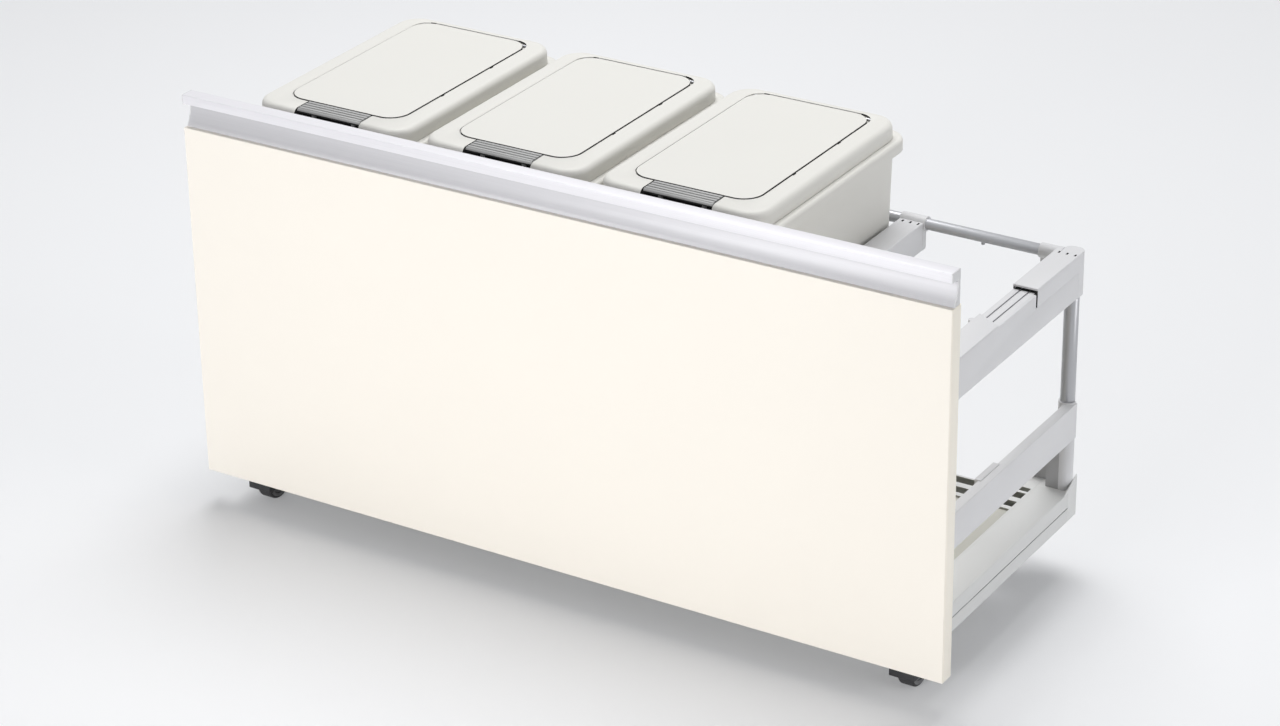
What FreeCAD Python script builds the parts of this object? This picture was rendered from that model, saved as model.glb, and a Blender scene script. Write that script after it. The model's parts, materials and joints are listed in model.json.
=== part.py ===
import FreeCAD, Part
import Sketcher
import os
import re

# Low trash wagon on casters, for the space under a worktop.
#
# A laminated front panel with an aluminium grip rail carries an open frame of side rails, posts and
# a rear tube. A slotted tray stands on four casters and holds three lidded bins and an open bottle
# bay.
#
# Frame: +X to the right as seen from the front, +Y to the back, +Z up. The origin lies on the
# floor, under the middle of the overall box. All sizes are millimetres.

doc = FreeCAD.newDocument("TrashWagon")

# ---------------------------------------------------------------- driving dimensions
SIZES = {
    # overall
    "panel_width": 900,          # front panel, left to right
    "panel_height": 404,         # front panel, without the grip rail
    "panel_board": 18,           # board thickness
    "floor_gap": 38,             # floor to the panel's lower edge
    "frame_depth": 343,          # panel face to the back of the rear joints
    "frame_inset": 20,           # panel end to the outer face of the side rails
    # grip rail
    "grip_height": 37,           # above the panel's top edge
    "grip_deep": 16,             # front to back
    "grip_nose": 10,             # height of the front nose
    "grip_wall": 2,              # extrusion wall
    "grip_recess": 12.5,         # finger recess behind the nose
    "grip_ledge": 5,             # bare board edge in front of the extrusion's foot
    "grip_cap": 1.2,             # end cap thickness
    # upper side rails
    "rail_top": 361.8,           # floor to the rail's top face
    "rail_tall": 43.8,
    "rail_wide": 27,
    "rail_wall": 2.4,
    "rail_groove_wide": 1.6,
    "rail_groove_deep": 1.4,
    "rail_groove_first": 7,      # inner edge of the rail to the first groove
    "rail_groove_pitch": 9.5,
    # rear corner joint
    "hood_long": 96,             # front lip to the block round the post
    "hood_gap": 3,               # shadow gap over the rail
    "hood_plate": 2,
    "hood_lip": 1.6,             # lip that closes the gap on the inner side
    "hood_skirt": 3.2,
    "hood_skirt_tall": 20,
    "slot_notch": 3,             # dark notch in front of the skirt
    "boss_radius": 9,            # half the depth of the block round the post
    "sleeve_radius": 8,
    "sleeve_reach": 47,          # rail's outer face to the sleeve's open end
    "gusset_tall": 20,
    "gusset_thick": 3,
    "snap_long": 4.5,
    "snap_wide": 2,
    "snap_pitch": 9,
    # tubes
    "post_radius": 7.8,
    "tube_radius": 6,
    "tube_wall": 1.2,
    "sleeve_drop": 0.4,          # hood's top face to the sleeve's top
    "post_rear_gap": 9,          # back of the joints to the post's axis
    "tube_fit": 0.1,
    # partition rail
    "partition_gap": 1.6,        # third bin's widest part to the rail
    "partition_wide": 27.5,
    "partition_tall": 31,
    "partition_wall": 1.8,
    "hook_long": 8,              # rail's end to the rear tube's axis
    # middle rail
    "mid_bottom": 155,
    "mid_tall": 40,
    "mid_wide": 11,
    "collar_wall": 1.6,
    "collar_lap": 1.2,           # how far the half collar reaches behind the post's axis
    "clip_start": 130,
    "clip_long": 42,
    "clip_wide": 4,
    "clip_rise": 1.2,
    "clip_tall": 26,
    # rear post cover
    "cover_radius": 9,
    "cover_web": 17,
    "cover_reach": 28,           # outer face to the web's inner edge
    "cover_gusset": 43,
    "cover_gusset_tall": 44,
    # front hardware
    "upright_plate": 2,
    "upright_wide": 20,
    "bracket_end": 150,          # panel face to the rear of the rail's front bracket
    "bracket_wall": 1.4,
    "bracket_bump": 4,
    # base
    "base_bottom": 61,
    "base_tall": 34,
    "channel_wide": 36,
    "channel_wall": 2.4,
    "channel_line": 16,          # lower edge to the groove line
    "channel_line_wide": 1.2,
    "upstand_rise": 14,
    "upstand_run": 31,
    "tray_plate": 2.2,
    "cutout_depth": 40,          # rear cut-out for pipes
    "cutout_side": 38,           # tray left standing beside the cut-out
    "side_slot": 34.5,           # rear edge of the tray to the middle of the slots beside the cut-out
    "side_slot_wide": 8,
    "slot_first": 49,            # rear edge of the tray to the first long slot's middle
    "slot_pitch": 20.8,
    "slot_wide": 12,
    "sunk_gap": 6.2,             # last slot to the sunk floor
    "sunk_deep": 2.4,
    "bay_margin": 7,
    # casters
    "wheel_radius": 20,
    "wheel_wide": 17,
    "axle_radius": 2.5,
    "axle_fit": 0.05,
    "fork_wall": 2.6,
    "fork_gap": 1,
    "caster_trail": 17,          # swivel axis to the wheel axle
    "caster_front": 61.5,        # panel face to the front swivel axis
    "caster_rear_gap": 42,       # back of the frame to the rear swivel axis
    "caster_side": 34,           # frame's outer face to the front swivel axis
    "caster_rear_side": 80,      # frame's outer face to the rear swivel axis
    "caster_plate": 2.5,
    "caster_plate_wide": 36,
    "stud_radius": 5,
    "swivel_fit": 0.08,
    "pedal_wide": 28,
    "pedal_thick": 5,
    "pedal_low": 18,             # floor to the pedal's lower edge
    "screw_radius": 2,
    "screw_head": 3.6,
    # bins
    "bin_gap": 4.2,              # between two rims
    "bin_side_gap": 7.5,         # left rail's inner face to the first rim
    "bin_front": 29,             # panel face to the rim's front
    "bin_wide": 206,             # over the rolled rim
    "bin_rear_gap": 6,           # rim to the back of the frame
    "bin_rim_over": 8.5,         # rim beyond the body at the sides and back
    "bin_rim_top": 455,          # floor to the top of the rim
    "bin_rim_tall": 14,
    "bin_wall": 2.2,
    "bin_corner": 26,
    "bin_taper": 1.8,            # degrees
    "bin_seat_gap": 0.3,
    "lid_inset": 8,              # rim's edge to the lid frame's edge
    "lid_tall": 17.6,
    "lid_wall": 2.4,
    "lid_round": 7,
    "lid_lift_gap": 0.3,
    "flap_wide": 142,
    "flap_front": 27,            # lid frame's front edge to the flap's front edge
    "flap_rear": 14,             # flap's rear edge to the lid frame's rear edge
    "flap_corner": 22,
    "swing_corner": 18,          # tighter rear corners of the recess, where the raised flap stands
    "flap_gap": 1.1,
    "flap_thick": 2.6,
    "flap_rise": 0.8,            # flap's top face over the lid frame's top
    "button_wide": 79,
    "button_gap": 1.2,
    "button_back": 4,            # lid frame's front edge to the button's front face
    "button_nose": 4,            # how far the button wraps down over the front edge
    "button_round": 3.4,
    "button_stem": 2.5,
    "button_stem_fit": 0.4,
    "button_stem_pitch": 50,
    "pin_radius": 1.6,
    "pin_fit": 0.05,
    "rail_corner": 2,            # rounding of moulded edges
    "panel_edge": 0.8,           # eased front edges of the board
    "grip_fillet": 5,            # inside corner under the nose
    "grip_soft": 1.2,            # rounded top of the nose
    "grip_sweep": 40,            # radius of the hollow pull face
    "grip_chamber_tall": 12,
    "post_inset": 10.6,          # outer face of the side to the post's axis
    "boss_round": 8,
    "joint_tongue": 24,          # joint's plug inside the rail
    "snap_first": 5,
    "snap_back": 6,
    "tube_end_gap": 1,
    "stop_pin_drop": 2.5,
    "stop_pin_radius": 2,
    "partition_round": 3,
    "hook_lip": 1.5,
    "hook_tongue": 24,
    "bracket_ear": 12,
    "bracket_skew": 8,
    "bracket_bump_tall": 9,
    "clip_lip": 3,
    "clip_round": 0.8,
    "upstand_thick": 1.4,
    "cap_long": 20,
    "cap_plug": 6,
    "foot_wide": 20,             # inner foot of the channel, over the casters
    "foot_tall": 14,
    "slot_end": 2,
    "bay_half": 84,              # half the width of the slots under a bin
    "wheel_gap": 1.3,
    "wheel_dish": 2,
    "tyre_deep": 6,
    "tyre_round": 2.5,
    "hub_wall": 3,
    "fork_ear": 7,
    "stud_head": 7,
    "stud_head_tall": 1.9,
    "stud_head_gap": 0.4,
    "pedal_tall": 14,
    "pedal_arm": 1.4,
    "pedal_eye": 5,
    "screw_bite": 12,
    "screw_cap": 1.8,
    "screw_edge": 6,
    "rim_round": 4,
    "lid_plate": 7,
    "notch_deep": 13,
    "shelf_edge": 4,
    "flap_seat": 0.4,
    "flap_seat_wide": 5,
    "flap_soft": 0.8,
    "barrel_radius": 2.8,
    "barrel_gap": 1,
    "pin_back": 3.2,
    "pin_down": 3.2,
    "pin_grip": 5,
    "button_wall": 2.4,
    "rear_gap": 3.2,             # wider gap behind the flap
    "lip_tall": 6,               # lid frame's lip inside the bin
    "lip_gap": 0.7,
    "lip_wall": 1.6,
    "grip_notch_long": 6,        # two small notches beside the flap
    "grip_notch_wide": 1.2,
    "grip_notch_first": 78,
    "grip_notch_second": 170,
}

sheet = doc.addObject("Spreadsheet::Sheet", "Dims")
for row, (word, size) in enumerate(SIZES.items(), start=1):
    sheet.set(f"A{row}", word)
    sheet.set(f"B{row}", str(size))
    sheet.setAlias(f"B{row}", word)
doc.recompute()
WORDS = re.compile("[a-z][a-z_0-9]*")


# ---------------------------------------------------------------- helpers
def bound(expression):
    """Return an expression over the sheet's words as one over the sheet's cells."""
    return WORDS.sub(lambda word: "Dims." + word[0] if word[0] in SIZES else word[0], expression)


def value(expression):
    """Work out an expression over the sheet's words."""
    return float(sheet.evalExpression(expression))


def new_body(label):
    """Start a body, with the label that names the piece."""
    body = doc.addObject("PartDesign::Body", label)
    body.Label = label
    return body


def lock(sketch, constraint, expression):
    """Add a constraint and bind its size to the sheet."""
    index = sketch.addConstraint(constraint)
    sketch.setExpression(f"Constraints[{index}]", bound(expression))


def lock_point(sketch, geometry, point, u, v):
    """Hold a point of the sketch at (u, v)."""
    lock(sketch, Sketcher.Constraint("DistanceX", -1, 1, geometry, point, value(u)), u)
    lock(sketch, Sketcher.Constraint("DistanceY", -1, 1, geometry, point, value(v)), v)


def arc_between(first, last, radius, bulge):
    """Return the arc of that radius between two points, bulging left (+1) or right (-1) of the chord."""
    chord = last - first
    middle = (first + last) * 0.5
    normal = FreeCAD.Vector(-chord.y, chord.x, 0).normalize()
    half = chord.Length / 2
    rise = radius - (radius ** 2 - half ** 2) ** 0.5
    return Part.Arc(first, middle + normal * rise * bulge, last)


def draw_loop(sketch, points, arcs=None):
    """Draw a closed outline through points; arcs maps a side's number to its (radius, bulge)."""
    arcs = arcs or {}
    corners = [FreeCAD.Vector(value(u), value(v), 0) for u, v in points]
    count = len(points)
    first_side = sketch.GeometryCount
    for side_number in range(count):
        here = corners[side_number]
        there = corners[(side_number + 1) % count]
        if side_number in arcs:
            radius, bulge = arcs[side_number]
            sketch.addGeometry(arc_between(here, there, value(radius), bulge), False)
        else:
            sketch.addGeometry(Part.LineSegment(here, there), False)
    for side_number, (u, v) in enumerate(points):
        # an arc's ends swap when it bulges to the left of its chord
        starts = 2 if side_number in arcs and arcs[side_number][1] > 0 else 1
        before = (side_number - 1) % count
        ends = 1 if before in arcs and arcs[before][1] > 0 else 2
        here = first_side + side_number
        sketch.addConstraint(Sketcher.Constraint("Coincident", first_side + before, ends, here, starts))
        lock_point(sketch, here, starts, u, v)
    for side_number, (radius, bulge) in arcs.items():
        arc = first_side + side_number
        lock(sketch, Sketcher.Constraint("Radius", arc, value(radius)), radius)


def draw_circle(sketch, u, v, radius):
    """Draw a circle about (u, v)."""
    centre = FreeCAD.Vector(value(u), value(v), 0)
    circle = Part.Circle(centre, FreeCAD.Vector(0, 0, 1), value(radius))
    number = sketch.addGeometry(circle, False)
    lock_point(sketch, number, 3, u, v)
    lock(sketch, Sketcher.Constraint("Radius", number, value(radius)), radius)


def rectangle(u0, v0, u1, v1):
    """Return the outline of a rectangle between two corners."""
    return {"points": [(u0, v0), (u1, v0), (u1, v1), (u0, v1)]}


def rounded(u0, v0, u1, v1, radius):
    """Return the outline of a rectangle with round corners."""
    points = [
        (f"({u0}) + ({radius})", v0), (f"({u1}) - ({radius})", v0),
        (u1, f"({v0}) + ({radius})"), (u1, f"({v1}) - ({radius})"),
        (f"({u1}) - ({radius})", v1), (f"({u0}) + ({radius})", v1),
        (u0, f"({v1}) - ({radius})"), (u0, f"({v0}) + ({radius})"),
    ]
    return {"points": points, "arcs": {side_number: (radius, -1) for side_number in (1, 3, 5, 7)}}


PLANES = {"X": ("YZ_Plane", 1), "Y": ("XZ_Plane", -1), "Z": ("XY_Plane", 1)}


def new_sketch(body, axis, at, outlines):
    """Draw outlines square to an axis of the body, at a place along it."""
    role, sense = PLANES[axis]
    plane = [feature for feature in body.Origin.OriginFeatures if feature.Role == role][0]
    sketch = body.newObject("Sketcher::SketchObject", "Sketch")
    sketch.AttachmentSupport = [(plane, "")]
    sketch.MapMode = "FlatFace"
    sketch.setExpression("AttachmentOffset.Base.z", bound(f"{sense} * ({at})"))
    for outline in outlines:
        if "radius" in outline:
            draw_circle(sketch, outline["u"], outline["v"], outline["radius"])
        else:
            draw_loop(sketch, outline["points"], outline.get("arcs"))
    return sketch


def circle(u, v, radius):
    """Return the outline of a circle."""
    return {"u": u, "v": v, "radius": radius}


def pad(body, axis, start, end, *outlines, taper=None, downward=False):
    """Add a prism of the outlines from start to end along the axis."""
    sketch = new_sketch(body, axis, end if downward else start, outlines)
    feature = body.newObject("PartDesign::Pad", "Pad")
    feature.Profile = sketch
    feature.Reversed = (PLANES[axis][1] < 0) != downward
    feature.setExpression("Length", bound(f"({end}) - ({start})"))
    if taper:
        feature.setExpression("TaperAngle", bound(taper))
    sketch.Visibility = False
    doc.recompute()
    if "Invalid" in feature.State:
        raise RuntimeError(f"a pad of {body.Label} failed: {feature.getStatusString()}")


def pocket(body, axis, start, end, *outlines, taper=None, downward=False):
    """Cut a prism of the outlines from start to end along the axis, and prove that it cuts."""
    before = body.Shape.Volume
    sketch = new_sketch(body, axis, end if downward else start, outlines)
    feature = body.newObject("PartDesign::Pocket", "Pocket")
    feature.Profile = sketch
    feature.Reversed = (PLANES[axis][1] > 0) != downward
    feature.setExpression("Length", bound(f"({end}) - ({start})"))
    if taper:
        feature.setExpression("TaperAngle", bound(taper))
    sketch.Visibility = False
    doc.recompute()
    if not body.Shape.Volume < before:
        raise RuntimeError(f"a pocket of {body.Label} cuts nothing: {feature.getStatusString()}")


def fillet(body, radius, chosen):
    """Round the body's edges for which chosen(edge) is true."""
    names = [f"Edge{number}" for number, edge in enumerate(body.Shape.Edges, start=1) if chosen(edge)]
    base = body.Tip
    feature = body.newObject("PartDesign::Fillet", "Fillet")
    feature.Base = (base, names)
    feature.setExpression("Radius", bound(radius))
    doc.recompute()
    if "Invalid" in feature.State:
        raise RuntimeError(f"a fillet of {body.Label} failed: {feature.getStatusString()}")


def along(axis, *places):
    """Pick straight edges along an axis that lie at given places, each an (axis, expression) pair."""
    direction = {"X": (1, 0, 0), "Y": (0, 1, 0), "Z": (0, 0, 1)}[axis]
    targets = [("XYZ".index(name), value(expression)) for name, expression in places]

    def chosen(edge):
        if edge.Curve.TypeId != "Part::GeomLine":
            return False
        start, end = edge.Vertexes[0].Point, edge.Vertexes[-1].Point
        if abs(abs((end - start).normalize() * FreeCAD.Vector(*direction)) - 1) > 1e-6:
            return False
        middle = (start + end) * 0.5
        return all(abs(middle[index] - place) < 1e-4 for index, place in targets)

    return chosen


def at_height(height):
    """Pick every edge that lies wholly at one height."""
    level = value(height)

    def chosen(edge):
        box = edge.BoundBox
        return abs(box.ZMin - level) < 1e-4 and abs(box.ZMax - level) < 1e-4

    return chosen


def round_of(radius):
    """Pick every circular edge of one radius."""
    target = value(radius)

    def chosen(edge):
        return edge.Curve.TypeId == "Part::GeomCircle" and abs(edge.Curve.Radius - target) < 1e-6

    return chosen


def mirrored(label, source):
    """Return the left-hand twin of a right-hand piece."""
    twin = doc.addObject("Part::Mirroring", label)
    twin.Label = label
    twin.Source = source
    twin.Normal = (1, 0, 0)
    twin.Base = (0, 0, 0)
    return twin


def grouped(label, members):
    """Return one piece that holds several separate solids."""
    group = doc.addObject("Part::Compound", label)
    group.Label = label
    group.Links = members
    return group


PIECES = []


def keep(*pieces):
    """Mark pieces as sub-parts of the wagon."""
    PIECES.extend(pieces)


def keep_pair(right):
    """Keep a right-hand piece and its left-hand twin."""
    keep(right, mirrored(right.Label.replace("_right", "_left"), right))


# ---------------------------------------------------------------- shared places
half_panel = "(panel_width / 2)"
front = "(-frame_depth / 2)"
back = "(frame_depth / 2)"
panel_back = f"({front} + panel_board)"
panel_top = "(floor_gap + panel_height)"
grip_top = f"({panel_top} + grip_height)"
side = "(panel_width / 2 - frame_inset)"
inner = f"({side} - rail_wide)"
rail_low = "(rail_top - rail_tall)"
rail_start = f"({panel_back} + upright_plate)"
hood_top = "(rail_top + hood_gap + hood_plate)"
skirt_low = f"({hood_top} - hood_skirt_tall)"
post_x = f"({side} - post_inset)"
post_y = f"({back} - post_rear_gap)"
post_hole = "(post_radius + tube_fit)"
boss_front = f"({post_y} - boss_radius)"
hood_front = f"({boss_front} - hood_long)"
tube_end = f"({post_x} - post_radius - tube_end_gap)"
tube_hole = "(tube_radius + tube_fit)"
tube_height = f"({hood_top} - sleeve_drop - sleeve_radius)"
joint_mouth = f"({side} - sleeve_reach)"
first_bin = f"(bin_side_gap - {inner} + bin_wide / 2)"
bin_middles = [f"({first_bin} + {order} * (bin_wide + bin_gap))" for order in range(3)]
partition_left = f"({bin_middles[-1]} + bin_wide / 2 - bin_rim_over + partition_gap)"
partition_right = f"({partition_left} + partition_wide)"
partition_end = f"({post_y} - hook_long)"
partition_low = "(rail_top - partition_tall)"
mid_in = f"({side} - mid_wide)"
mid_top = "(mid_bottom + mid_tall)"
base_top = "(base_bottom + base_tall)"
channel_in = f"({side} - channel_wide)"


# ---------------------------------------------------------------- front panel and grip rail
screw_x = f"({side} - upright_wide / 2)"
screw_heights = (f"(({base_top} + mid_bottom) / 2)", f"(({mid_top} + {rail_low}) / 2)")
ear_xs = (f"({partition_left} - bracket_ear / 2)", f"({partition_right} + bracket_ear / 2)")
ear_z = "(rail_top - partition_tall / 2)"


def panel_screw_places():
    """Return the (x, z) places of the screws that hold the frame to the panel."""
    places = [(f"({sign} * {screw_x})", height) for sign in (1, -1) for height in screw_heights]
    return places + [(ear_x, ear_z) for ear_x in ear_xs]


def build_panel():
    """Laminated board, with blind pilot holes for the frame's screws."""
    panel = new_body("front_panel")
    board = rectangle(f"-{half_panel}", "floor_gap", half_panel, panel_top)
    pad(panel, "Y", front, panel_back, board)
    holes = [circle(x, z, "screw_radius") for x, z in panel_screw_places()]
    pocket(panel, "Y", f"{panel_back} - screw_bite", panel_back, *holes)
    fillet(panel, "panel_edge", along("X", ("Y", front)))
    keep(panel)


def grip_outline():
    """Outer section of the grip rail: foot, hollow pull face, finger recess and nose."""
    nose_low = f"({grip_top} - grip_nose)"
    recess = f"({front} + grip_recess)"
    deep = f"({front} + grip_deep)"
    points = [
        (f"{front} + grip_ledge", panel_top),
        (recess, f"{nose_low} - grip_fillet"),
        (f"{recess} - grip_fillet", nose_low),
        (front, nose_low),
        (front, f"{grip_top} - grip_soft"),
        (f"{front} + grip_soft", grip_top),
        (deep, grip_top),
        (deep, panel_top),
    ]
    return {"points": points, "arcs": {0: ("grip_sweep", -1), 1: ("grip_fillet", -1), 4: ("grip_soft", 1)}}


def grip_chamber():
    """Inner section of the extrusion, between the pull face and the back wall."""
    low = f"({panel_top} + grip_wall)"
    rear = f"({front} + grip_deep - grip_wall)"
    points = [
        (f"{front} + grip_ledge + grip_wall + grip_soft / 2", low),
        (rear, f"{low} + grip_chamber_tall"),
        (rear, low),
    ]
    return {"points": points}


def build_grip():
    """Aluminium extrusion along the panel's top edge, with a thin cap on each end."""
    end = f"({half_panel} - grip_cap)"
    rail = new_body("grip_rail")
    pad(rail, "X", f"-{end}", end, grip_outline())
    pocket(rail, "X", f"-{end}", end, grip_chamber())
    cap = new_body("grip_cap_right_side")
    pad(cap, "X", end, half_panel, grip_outline())
    keep(rail, grouped("grip_end_caps", [cap, mirrored("grip_cap_left_side", cap)]))


# ---------------------------------------------------------------- upper rails and rear joints
def build_upper_rail():
    """Box rail with two grooves in its top, stepped at the rear to take the joint's skirt."""
    rail = new_body("upper_rail_right")
    rear = boss_front
    pad(rail, "Y", rail_start, rear, rectangle(inner, rail_low, side, "rail_top"))
    fillet(rail, "rail_corner / 2", along("Y"))
    hollow = rectangle(f"{inner} + rail_wall", f"{rail_low} + rail_wall",
                       f"{side} - rail_wall", "rail_top - rail_wall")
    pocket(rail, "Y", rail_start, rear, hollow)
    for number in range(2):
        left = f"({inner} + rail_groove_first + {number} * rail_groove_pitch)"
        groove = rectangle(left, "rail_top - rail_groove_deep", f"{left} + rail_groove_wide", "rail_top + 1")
        pocket(rail, "Y", rail_start, rear, groove)
    step = rectangle(f"{side} - hood_skirt", skirt_low, f"{side} + 1", "rail_top + 1")
    pocket(rail, "Y", f"{hood_front} - slot_notch", rear, step)
    keep_pair(rail)


def build_rail_bracket():
    """Fitting that wraps the rail's front end and meets the panel's upright."""
    bracket = new_body("rail_bracket_right")
    left = f"({inner} - bracket_wall)"
    end = f"({front} + bracket_end)"
    plate = {"points": [(left, rail_start), (side, rail_start), (side, f"{end} - bracket_skew"),
                        (left, f"{end} + bracket_skew")]}
    pad(bracket, "Z", "rail_top", "rail_top + bracket_wall", plate)
    flank = rectangle(left, rail_start, inner, f"{end} + bracket_skew")
    pad(bracket, "Z", rail_low, "rail_top", flank)
    bump = circle(f"{left}", f"{end} - bracket_skew", "bracket_bump")
    pad(bracket, "Z", "rail_top - bracket_bump_tall", "rail_top + bracket_wall", bump)
    beyond = rectangle(inner, rail_start, f"{inner} + bracket_bump + 1", end)
    pocket(bracket, "Z", "rail_top - bracket_bump_tall - 1", "rail_top", beyond)
    keep_pair(bracket)


def build_rear_joint():
    """Moulded corner: hood over the rail, boss for the post, sleeve and gusset for the rear tube."""
    joint = new_body("rear_joint_right")
    boss = rectangle(f"{side} - 2 * post_inset", boss_front, side, back)
    pad(joint, "Z", rail_low, hood_top, boss)
    fillet(joint, "boss_round", along("Z", ("Y", back)))
    hood = rectangle(inner, hood_front, side, boss_front)
    pad(joint, "Z", f"{hood_top} - hood_plate", hood_top, hood)
    fillet(joint, "rail_corner / 2", along("Y", ("X", side), ("Z", hood_top)))
    skirt = rectangle(f"{side} - hood_skirt", hood_front, side, boss_front)
    pad(joint, "Z", skirt_low, f"{hood_top} - hood_plate", skirt)
    lip = rectangle(inner, hood_front, f"{inner} + hood_lip", boss_front)
    pad(joint, "Z", "rail_top", f"{hood_top} - hood_plate", lip)
    cheek = rectangle(inner, boss_front, f"{side} - 2 * post_inset", post_y)
    pad(joint, "Z", rail_low, hood_top, cheek)
    tongue = rectangle(f"{inner} + rail_wall + tube_fit", f"{rail_low} + rail_wall + tube_fit",
                       f"{side} - rail_wall - tube_fit", f"{skirt_low} - hood_gap")
    pad(joint, "Y", f"{boss_front} - joint_tongue", boss_front, tongue)
    pad(joint, "X", joint_mouth, f"{side} - 2 * post_inset", circle(post_y, tube_height, "sleeve_radius"))
    web = rectangle(joint_mouth, f"{post_y} - gusset_thick / 2", inner, f"{post_y} + gusset_thick / 2")
    pad(joint, "Z", f"{tube_height} - gusset_tall", tube_height, web)
    pocket(joint, "X", joint_mouth, tube_end, circle(post_y, tube_height, tube_hole))
    pocket(joint, "Z", rail_low, f"{hood_top} - hood_plate", circle(post_x, post_y, post_hole))
    snaps = []
    for number in range(3):
        left = f"({inner} + snap_first + {number} * snap_pitch)"
        low = f"({boss_front} - snap_back)"
        snaps.append(rectangle(left, low, f"{left} + snap_wide", f"{low} + snap_long"))
    pocket(joint, "Z", f"{hood_top} - hood_plate", hood_top, *snaps)
    keep_pair(joint)


def build_rear_tube():
    """Tube between the two rear joints, with a small stop pin under the bottle bay."""
    tube = new_body("rear_tube")
    ring = [circle(post_y, tube_height, "tube_radius"), circle(post_y, tube_height, "tube_radius - tube_wall")]
    pad(tube, "X", f"-{tube_end}", tube_end, *ring)
    low = f"({tube_height} - tube_radius - stop_pin_drop)"
    stop = circle(f"({partition_right} + {joint_mouth}) / 2", post_y, "stop_pin_radius")
    pad(tube, "Z", low, f"{tube_height} - tube_radius + tube_wall", stop)
    keep(tube)


def build_posts():
    """Round tubes that stand on the base channels and carry the rear joints."""
    post = new_body("rear_post_right")
    ring = [circle(post_x, post_y, "post_radius"), circle(post_x, post_y, "post_radius - tube_wall")]
    pad(post, "Z", base_top, f"{hood_top} - hood_plate", *ring)
    keep_pair(post)


# ---------------------------------------------------------------- partition
def build_partition():
    """Folded channel between the third bin and the bottle bay, hooked on the tube at the rear."""
    rail = new_body("partition_rail")
    start = f"({panel_back} + upright_plate)"
    pad(rail, "Y", start, partition_end, rectangle(partition_left, partition_low, partition_right, "rail_top"))
    below = rectangle(f"{partition_left} + partition_wall", f"{partition_low} - 1",
                      f"{partition_right} - partition_wall", "rail_top - partition_wall")
    pocket(rail, "Y", start, partition_end, below)
    fillet(rail, "rail_corner / 2", along("Y", ("Z", "rail_top")))
    snaps = []
    for number in range(3):
        left = f"({partition_left} + snap_first + {number} * snap_pitch)"
        low = f"({partition_end} - snap_back)"
        snaps.append(rectangle(left, low, f"{left} + snap_wide", f"{low} + snap_long"))
    pocket(rail, "Z", "rail_top - partition_wall", "rail_top", *snaps)

    hook = new_body("partition_hook")
    block = rectangle(partition_left, partition_end, partition_right, post_y)
    pad(hook, "Z", partition_low, "rail_top", block)
    fillet(hook, "partition_round", along("X", ("Y", post_y), ("Z", partition_low)))
    sleeve = circle(post_y, tube_height, "sleeve_radius")
    pad(hook, "X", partition_left, f"{partition_right} + hook_lip", sleeve)
    tongue = rectangle(f"{partition_left} + partition_wall", f"{partition_low} + partition_wall",
                       f"{partition_right} - partition_wall", "rail_top - partition_wall")
    pad(hook, "Y", f"{partition_end} - hook_tongue", partition_end, tongue)
    pocket(hook, "X", partition_left, f"{partition_right} + hook_lip", circle(post_y, tube_height, tube_hole))

    seat = new_body("partition_bracket")
    plate = rectangle(f"{partition_left} - bracket_ear", partition_low, f"{partition_right} + bracket_ear",
                      "rail_top - partition_wall")
    pad(seat, "Y", panel_back, start, plate)
    pad(seat, "Y", start, f"{start} + hook_tongue", tongue)
    holes = [circle(ear_x, ear_z, "screw_radius") for ear_x in ear_xs]
    pocket(seat, "Y", panel_back, start, *holes)
    keep(rail, hook, seat)


# ---------------------------------------------------------------- middle rails and post covers
def build_middle_rail():
    """Slim side rail with a half collar round the post."""
    rail = new_body("middle_rail_right")
    end = f"({post_y} + collar_lap)"
    pad(rail, "Y", rail_start, end, rectangle(mid_in, "mid_bottom", side, mid_top))
    fillet(rail, "rail_corner / 2", along("Y", ("X", side), ("Z", mid_top)))
    collar = circle(post_x, post_y, f"{post_hole} + collar_wall")
    pad(rail, "Z", "mid_bottom", f"{mid_top} + collar_wall", collar)
    pocket(rail, "Z", "mid_bottom", f"{mid_top} + collar_wall", circle(post_x, post_y, post_hole))
    behind = rectangle(f"{post_x} - 2 * post_inset", end, f"{side} + 1", f"{back} + post_inset")
    pocket(rail, "Z", "mid_bottom - 1", f"{mid_top} + collar_wall + 1", behind)
    keep_pair(rail)

    clip = new_body("rail_clip_right_side")
    left = f"({mid_in} - clip_wide)"
    top = f"({mid_top} + clip_rise)"
    hook = {"points": [(left, f"{mid_top} - clip_tall"), (mid_in, f"{mid_top} - clip_tall"), (mid_in, mid_top),
                       (f"{mid_in} + clip_lip", mid_top), (f"{mid_in} + clip_lip", top), (left, top)]}
    start = f"({front} + clip_start)"
    pad(clip, "Y", start, f"{start} + clip_long", hook)
    fillet(clip, "clip_round", along("X", ("Z", top)))
    keep(grouped("middle_rail_clips", [clip, mirrored("rail_clip_left_side", clip)]))


def build_post_cover():
    """Moulded foot round the post, with an inward block and a pointed gusset at the back."""
    cover = new_body("post_cover_right")
    pad(cover, "Z", base_top, "mid_bottom", circle(post_x, post_y, "cover_radius"))
    reach = f"({side} - cover_reach)"
    web = rectangle(reach, f"{post_y} - cover_web / 2", post_x, f"{post_y} + cover_web / 2")
    pad(cover, "Z", base_top, "mid_bottom", web)
    gusset = {"points": [(f"{reach} - cover_gusset", base_top), (f"{reach} + 1", base_top),
                         (f"{reach} + 1", f"{base_top} + cover_gusset_tall")]}
    pad(cover, "Y", f"{back} - gusset_thick", back, gusset)
    pocket(cover, "Z", base_top, "mid_bottom", circle(post_x, post_y, post_hole))
    keep_pair(cover)


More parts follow.
